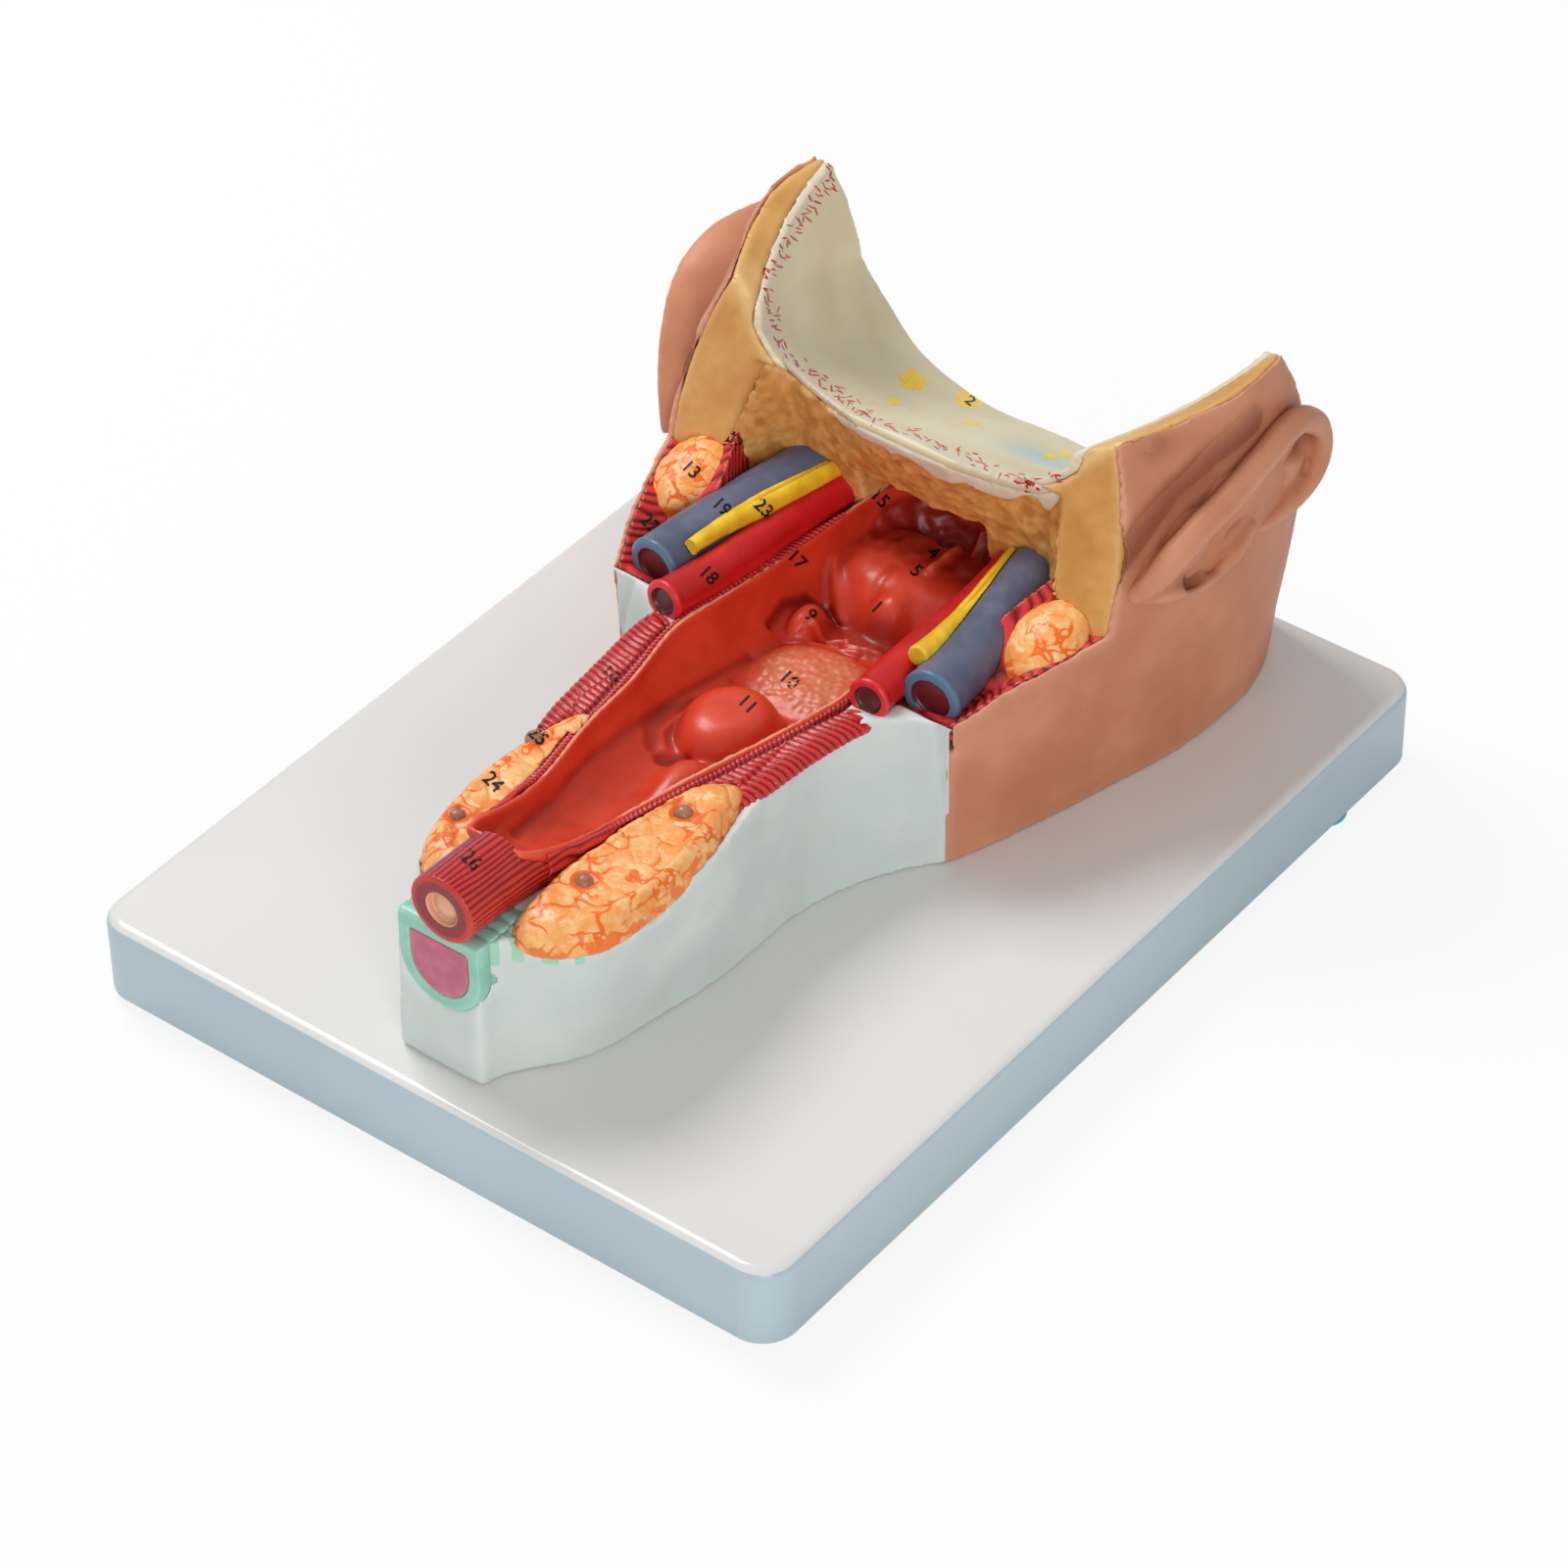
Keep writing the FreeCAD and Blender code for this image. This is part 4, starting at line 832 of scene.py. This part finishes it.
def sculptFat(piece):
    spots = acrossX(places(piece))
    fold = lineMask(spots, [(58.5, 62.5, 123), (52, 60, 117.5), (47.5, 58.5, 112.5), (43.6, 58.0, 107)], 1.0)
    swell(piece, 0.45 * lumps(spots, 12, 9) + 0.12 * lumps(spots, 3, 5) - 0.7 * fold)
    nearTip = step(spots[:, 2] - 1.1 * (spots[:, 0] - 58.5) - 122, -3, 2)
    paint(piece, "pale", np.clip(0.8 * fold + 0.5 * nearTip, 0, 1))


skinRecipe = {"voxel": 1.0, "passes": 3, "grow": 0.1, "creasePasses": 14, "creaseDepth": 0.9}


def sculptHead(piece):
    spots = acrossX(places(piece))
    valley = lineMask(spots, [(65.0, 50, 95), (67.0, 60, 101), (69.5, 72, 107.5), (71.8, 84, 112),
                              (73.5, 97, 115)], 4.0)
    second = lineMask(spots, [(63.5, 50, 103), (65.5, 62, 110), (68, 76, 115.5)], 3.5)
    dimple = spotMask(spots, (64.8, 70.5, 120), (4, 5, 3))
    heights = 0.5 * second - 1.6 * valley - dimple + 0.5 * lumps(spots, 20, 3) + 0.12 * lumps(spots, 6, 4)
    swell(piece, heights * step(spots[:, 0], 40, 60))
    # painted shade in the valley behind the ear and its dimple
    paint(piece, "dark", np.clip(0.8 * valley + 0.4 * dimple, 0, 1))


neckRecipe = {"voxel": 1.0, "passes": 3, "grow": 0.1, "creasePasses": 10, "creaseDepth": 0.9}


def sculptNeck(piece):
    spots = places(piece)
    swell(piece, 0.35 * lumps(spots, 18, 8) + 0.08 * lumps(spots, 5, 2))
    stripes = step(np.sin(2 * math.pi * (spots[:, 1] + 124) / 3.9), -0.2, 0.3)
    zone = step(spots[:, 0], 8, 10) * step(spots[:, 2], 60.5, 63.5) * step(-spots[:, 1], 104, 108)
    paint(piece, "mint", stripes * zone * step(-spots[:, 1], -200, 126))
    paint(piece, "smudge", 0.2 * step(lumps(spots, 14, 18), 0.25, 0.6))


for side in ("left", "right"):
    softPiece("fat_" + side, "fat_tan", ["fat_section_" + side], fatRecipe, sculptForm=sculptFat)
softPiece("head_skin", "skin", ["head_casting"], skinRecipe, sculptForm=sculptHead)
softPiece("neck_skin", "neck_block", ["neck_casting"], neckRecipe, sculptForm=sculptNeck)
tracheaRecipe = {"voxel": 0.5, "passes": 3, "grow": 0.05}
softPiece("trachea_wall", "cartilage_mint", ["trachea_ring"], tracheaRecipe)
softPiece("trachea_inner", "membrane_pink", ["trachea_membrane"], tracheaRecipe)
print("castings")

# Ears: rolled helix, lobe edge and the small leaf before the ear hole, over a thin body on the head's side
earRecipe = {"voxel": 0.72, "passes": 6, "creasePasses": 16, "creaseDepth": 0.8}
earRopes = [
    ([(69.5, 55.0, 87.0), (73.0, 57.5, 91.0), (75.6, 61.5, 96.5), (77.0, 68.5, 100.5), (78.0, 77.5, 103.0),
      (78.4, 87.5, 106.0), (78.5, 95, 108.0), (78.2, 102.5, 109.5), (77.6, 111, 109.0), (77.0, 118, 104.5),
      (76.6, 122.5, 98), (76.4, 123.5, 91), (76.2, 121.5, 86), (76.0, 117, 83.5), (75.8, 110, 82.5),
      (75.0, 102, 82.0), (74.0, 95, 84)],
     (3.0, 3.6, 3.9, 3.8, 3.7, 3.7, 3.7, 3.7, 3.7, 3.7, 3.7, 3.5, 3.2, 3.0, 2.8, 2.4, 1.8)),
    ([(70.5, 55.5, 86.5), (73.5, 60, 85.5), (75.2, 66, 83.4), (75.8, 73, 81.0), (75.6, 80, 79.6)],
     (2.2, 2.4, 2.2, 2.0, 1.6)),
    ([(75.2, 80, 79.5), (76.0, 86, 82.0), (75.6, 94, 86.0)], (1.6, 2.8, 2.4)),
]
earBody = [((70.0, 63, 89.5), (5.0, 7, 6.5)), ((71.5, 74, 91), (5.0, 11, 10.5)),
           ((72.5, 88, 93.5), (4.4, 12, 12.5)), ((73.0, 102, 96), (3.4, 12, 13)),
           ((73.2, 113, 96), (3.2, 9, 12))]
earPit = (75.5, 106.0, 91.6)


def earForms(bm, side):
    # the left ear is seen from its back, where the solid's full body shows
    if side == "left":
        nodeForm(bm, "ear_right")
    else:
        addBlobs(bm, earBody)
    for points, radii in earRopes:
        addRope(bm, points, radii)


def sculptEar(piece):
    spots = places(piece)
    pit = spotMask(spots, earPit, (4, 3.2, 3.2))
    groove = lineMask(spots, [(76.5, 70, 84), (75.5, 77, 87), (75.5, 85, 91.5), (75.5, 95, 95),
                              (75.5, 102, 97.5), (75.5, 109, 99), (75.5, 116, 97.5)], 3.0)
    swell(piece, -3.2 * pit - 2.8 * groove + 0.15 * lumps(spots, 7, 3))
    # painted shade in the ear's groove and pit
    paint(piece, "dark", np.clip(0.9 * groove + pit, 0, 1))


def buildEar(side):
    # shaped as the right ear, then placed where the side's solid is
    bm = bmesh.new()
    earForms(bm, side)
    piece = addPiece("ear_" + side + "_skin", bm)
    remeshSkin(piece, earRecipe["voxel"], earRecipe["passes"])
    sculptEar(piece)
    if side == "left":
        turn = {"pivot": (0, 85.0, 114.6), "degrees": 12.0, "drop": 3.0}
        pivot = Vector(turn["pivot"]) * mm
        bm = bmesh.new()
        bm.from_mesh(piece.data)
        moves = [Matrix.Translation((0, 0, -turn["drop"] * mm)), Matrix.Translation(pivot),
                 Matrix.Rotation(math.radians(turn["degrees"]), 4, "X"), Matrix.Translation(-pivot),
                 Matrix.Diagonal((-1, 1, 1, 1))]
        pose = Matrix.Identity(4)
        for move in moves:
            pose = pose @ move
        bmesh.ops.transform(bm, matrix=pose, verts=bm.verts)
        bmesh.ops.reverse_faces(bm, faces=bm.faces)
        bm.to_mesh(piece.data)
        bm.free()
    paintCreases(piece, earRecipe["creasePasses"], earRecipe["creaseDepth"])
    return finishPiece(piece, "skin", materials["skin"], "ear_" + side)


buildEar("left")
buildEar("right")
print("ears")


# Marks lie on the finished surfaces, pressed on along the line of sight of someone reading them
readFrom = Vector((0.470, -0.597, 0.650)).normalized()
markAcross = Vector((0.785, 0.619, 0.0)).normalized()
inkRecipe = {"height": 3.3, "capShare": 0.70, "thicken": 0.08, "relief": 0.14, "turn": -45, "wobble": 0.07,
             "wobbleSize": 0.8, "longestEdge": 1.0}
dashRecipe = {"count": 190, "scatter": 1.1, "halfLengths": (0.6, 1.3), "halfWidths": (0.18, 0.34),
              "relief": 0.2, "turn": (-0.5, 0.7)}
yolkRecipe = {"relief": 0.3, "ragged": 0.35, "raggedSize": 1.7}
indexMarks = [("13", (-52.4, 36.5, 80.0)), ("12", (-49.1, 49.4, 82.6)), ("22", (-53.9, 21.6, 71.6)),
              ("19", (-37.9, 30.3, 78.9)), ("23", (-30.4, 37.6, 77.3)), ("18", (-26.6, 10.7, 75.1)),
              ("17", (-22.5, 40.6, 63.0)), ("15", (-17.0, 67.8, 68.2)), ("4", (4.2, 61.9, 64.7)),
              ("5", (6.3, 52.1, 66.3)), ("1", (2.5, 40.6, 60.1)), ("9", (-16.2, 37.8, 49.7)),
              ("10", (0.3, 7.8, 57.3)), ("11", (2.3, -11.2, 63.0)), ("16", (-26.6, -27.3, 69.0)),
              ("25", (-21.4, -61.3, 74.7)), ("24", (-20.1, -79.5, 73.4)), ("26", (4.5, -116.0, 87.5)),
              ("2", (-30.7, 124.8, 58.2))]
dashLine = [(-66.6, 113.8, 124.1), (-62.8, 107.0, 122.0), (-61.4, 98.4, 122.0), (-56.6, 79.5, 120.7),
            (-52.6, 67.9, 118.5), (-52.0, 70.4, 108.3), (-46.2, 66.8, 103.8), (-41.8, 68.2, 98.3),
            (-38.1, 74.1, 91.0), (-28.6, 68.6, 93.0), (-20.4, 65.1, 95.2), (-12.7, 62.9, 96.9),
            (-7.7, 64.3, 96.2), (-0.2, 62.3, 97.8), (4.6, 63.9, 96.7), (8.3, 67.0, 94.4), (15.8, 64.9, 95.4),
            (24.3, 67.4, 93.6), (39.6, 56.0, 107.0), (44.6, 57.0, 110.2), (45.6, 57.7, 112.3)]
# Middle, half length, half width
yolkSpots = [((-41.0, 113.9, 66.7), 3.6, 2.9), ((-31.8, 93.6, 76.1), 1.6, 1.0),
             ((-31.8, 126.3, 57.4), 4.0, 3.0), ((-17.5, 107.1, 67.8), 2.6, 0.9),
             ((6.7, 108.1, 67.6), 2.2, 0.9), ((5.7, 116.4, 62.7), 1.8, 0.9)]


def pressOn(bm, place, height):
    # flat forms, drawn in millimetres round zero, go onto the first surface met along the line of sight
    upwards = readFrom.cross(markAcross)
    scene = bpy.context.scene
    graph = bpy.context.evaluated_depsgraph_get()
    for vertex in bm.verts:
        x, y, lift = vertex.co
        start = (Vector(place) + markAcross * x + upwards * y + readFrom * 120) * mm
        met, spot, _, _, _, _ = scene.ray_cast(graph, start, -readFrom)
        if met:
            vertex.co = spot + readFrom * (lift * height * mm)
        else:
            vertex.tag = True
    bmesh.ops.delete(bm, geom=[v for v in bm.verts if v.tag], context="VERTS")


def joinInto(target, bm):
    mesh = bpy.data.meshes.new("part")
    bm.to_mesh(mesh)
    bm.free()
    target.from_mesh(mesh)
    bpy.data.meshes.remove(mesh)


def inkDigits(text):
    curve = bpy.data.curves.new("digits", "FONT")
    curve.body = text
    curve.size = inkRecipe["height"] / inkRecipe["capShare"]
    curve.align_x = "CENTER"
    curve.align_y = "CENTER"
    curve.resolution_u = 3
    curve.offset = inkRecipe["thicken"]
    curve.extrude = 0.5
    holder = bpy.data.objects.new("digits", curve)
    bpy.context.scene.collection.objects.link(holder)
    bpy.context.view_layer.update()
    mesh = bpy.data.meshes.new_from_object(holder.evaluated_get(bpy.context.evaluated_depsgraph_get()))
    bpy.data.objects.remove(holder)
    bpy.data.curves.remove(curve)
    bm = bmesh.new()
    bm.from_mesh(mesh)
    bpy.data.meshes.remove(mesh)
    bmesh.ops.remove_doubles(bm, verts=bm.verts, dist=0.01)
    bmesh.ops.triangulate(bm, faces=bm.faces)
    for _ in range(2):
        longEdges = [e for e in bm.edges if e.calc_length() > inkRecipe["longestEdge"]]
        bmesh.ops.subdivide_edges(bm, edges=longEdges, cuts=1)
        bmesh.ops.triangulate(bm, faces=bm.faces)
    bmesh.ops.rotate(bm, verts=bm.verts, cent=(0, 0, 0),
                     matrix=Matrix.Rotation(math.radians(inkRecipe["turn"]), 3, "Z"))
    return bm


def finishMarks(name, bm, material):
    piece = addPiece(name, bm)
    piece.data.materials.append(materials[material])
    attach(piece, "root")


def buildDashes():
    dashes = bmesh.new()
    rng = np.random.default_rng(7)
    count = dashRecipe["count"]
    for k in range(count):
        place = alongCurve(dashLine, (k + 0.5 * rng.random()) / count)
        place += Vector(rng.normal(0, dashRecipe["scatter"], 3))
        bm = bmesh.new()
        bmesh.ops.create_icosphere(bm, subdivisions=2, radius=1.0)
        size = (rng.uniform(*dashRecipe["halfLengths"]), rng.uniform(*dashRecipe["halfWidths"]), 0.5)
        bmesh.ops.scale(bm, verts=bm.verts, vec=size)
        turn = Matrix.Rotation(rng.normal(*dashRecipe["turn"]), 3, "Z")
        bmesh.ops.rotate(bm, verts=bm.verts, cent=(0, 0, 0), matrix=turn)
        pressOn(bm, place, dashRecipe["relief"])
        joinInto(dashes, bm)
    finishMarks("dura_dashes", dashes, "enamel_red")


def buildYolks():
    yolks = bmesh.new()
    for k, (place, halfLength, halfWidth) in enumerate(yolkSpots):
        bm = bmesh.new()
        bmesh.ops.create_icosphere(bm, subdivisions=4, radius=1.0)
        bmesh.ops.scale(bm, verts=bm.verts, vec=(halfLength, halfWidth, 1.0))
        for vertex in bm.verts:
            flat = Vector((vertex.co.x, vertex.co.y, 9.0 * k))
            vertex.co.xy *= 1 + yolkRecipe["ragged"] * noise.noise(flat / yolkRecipe["raggedSize"])
        pressOn(bm, place, yolkRecipe["relief"])
        joinInto(yolks, bm)
    finishMarks("yolk_spots", yolks, "enamel_yellow")


def buildNumbers():
    inks = bmesh.new()
    for k, (text, place) in enumerate(indexMarks):
        bm = inkDigits(text)
        for vertex in bm.verts:
            stray = noise.noise_vector(vertex.co / inkRecipe["wobbleSize"] + Vector((7.0 * k, 0, 0)))
            vertex.co += Vector((stray.x, stray.y, 0)) * inkRecipe["wobble"]
        pressOn(bm, place, inkRecipe["relief"])
        joinInto(inks, bm)
    finishMarks("index_numbers", inks, "ink_black")


buildDashes()
buildYolks()
buildNumbers()
print("marks")


# White paper under a pale room, a key lamp high on the left and a fill lamp on the right, each with its
# place, size and watts
studio = {"paper": "#F2F2F2", "paperRoughness": 0.9, "paperGlow": 0.86, "paperHalfSize": 6,
          "worldLight": 0.42, "lampAim": (0, 0, 0.05),
          "lamps": {"key": ((-0.6, 0.1, 1.0), 0.5, 8), "fill": ((0.9, -0.9, 0.6), 0.6, 6.5)}}


def buildStage():
    bm = bmesh.new()
    bmesh.ops.create_grid(bm, x_segments=1, y_segments=1, size=studio["paperHalfSize"])
    floor = addPiece("floor", bm)
    material, tree, _ = startMaterial("studio paper")
    shader = tree.nodes["Principled BSDF"]
    shader.inputs["Base Color"].default_value = linear(studio["paper"])
    shader.inputs["Roughness"].default_value = studio["paperRoughness"]
    glow = addNode(tree, "ShaderNodeEmission", {"Color": "#FFFFFF", "Strength": 1.0})
    seen = addNode(tree, "ShaderNodeLightPath", output="Is Camera Ray")
    share = addNode(tree, "ShaderNodeMath", {0: seen, 1: studio["paperGlow"]}, operation="MULTIPLY")
    mix = addNode(tree, "ShaderNodeMixShader", {0: share, 1: shader.outputs[0], 2: glow})
    tree.links.new(mix, tree.nodes["Material Output"].inputs["Surface"])
    floor.data.materials.append(material)
    world = bpy.data.worlds.new("studio")
    world.use_nodes = True
    tree = world.node_tree
    seen = addNode(tree, "ShaderNodeLightPath", output="Is Camera Ray")
    level = addNode(tree, "ShaderNodeMapRange", {"Value": seen, "To Min": studio["worldLight"],
                                                 "To Max": 1.0})
    tree.links.new(level, tree.nodes["Background"].inputs["Strength"])
    tree.nodes["Background"].inputs["Color"].default_value = (1, 1, 1, 1)
    bpy.context.scene.world = world


def addLamp(name, place, size, watts):
    light = bpy.data.lights.new(name, "AREA")
    light.shape = "SQUARE"
    light.size = size
    light.energy = watts
    lamp = bpy.data.objects.new(name, light)
    lamp.location = place
    lamp.rotation_euler = (Vector(studio["lampAim"]) - Vector(place)).to_track_quat("-Z", "Y").to_euler()
    bpy.context.scene.collection.objects.link(lamp)


def setCamera():
    shot = {"azimuth": 38.231, "elevation": 40.515, "roll": -0.852, "target": (-15.945, 25.799, 3.0),
            "distance": 1.47536, "lens": 133.59, "sensor": 36}
    a, e, r = (math.radians(shot[k]) for k in ("azimuth", "elevation", "roll"))
    back = Vector((math.sin(a) * math.cos(e), -math.cos(a) * math.cos(e), math.sin(e)))
    level = Vector((math.cos(a), math.sin(a), 0))
    upward = back.cross(level)
    across = level * math.cos(r) + upward * math.sin(r)
    upward = upward * math.cos(r) - level * math.sin(r)
    camera = bpy.data.cameras.new("camera")
    camera.sensor_width = shot["sensor"]
    camera.lens = shot["lens"]
    holder = bpy.data.objects.new("camera", camera)
    pose = Matrix((across, upward, back)).transposed().to_4x4()
    pose.translation = Vector(shot["target"]) * mm + back * shot["distance"]
    holder.matrix_world = pose
    bpy.context.scene.collection.objects.link(holder)
    bpy.context.scene.camera = holder


buildStage()
for name, (place, size, watts) in studio["lamps"].items():
    addLamp(name, place, size, watts)
setCamera()
bpy.context.scene.view_settings.view_transform = "Standard"
print("stage")
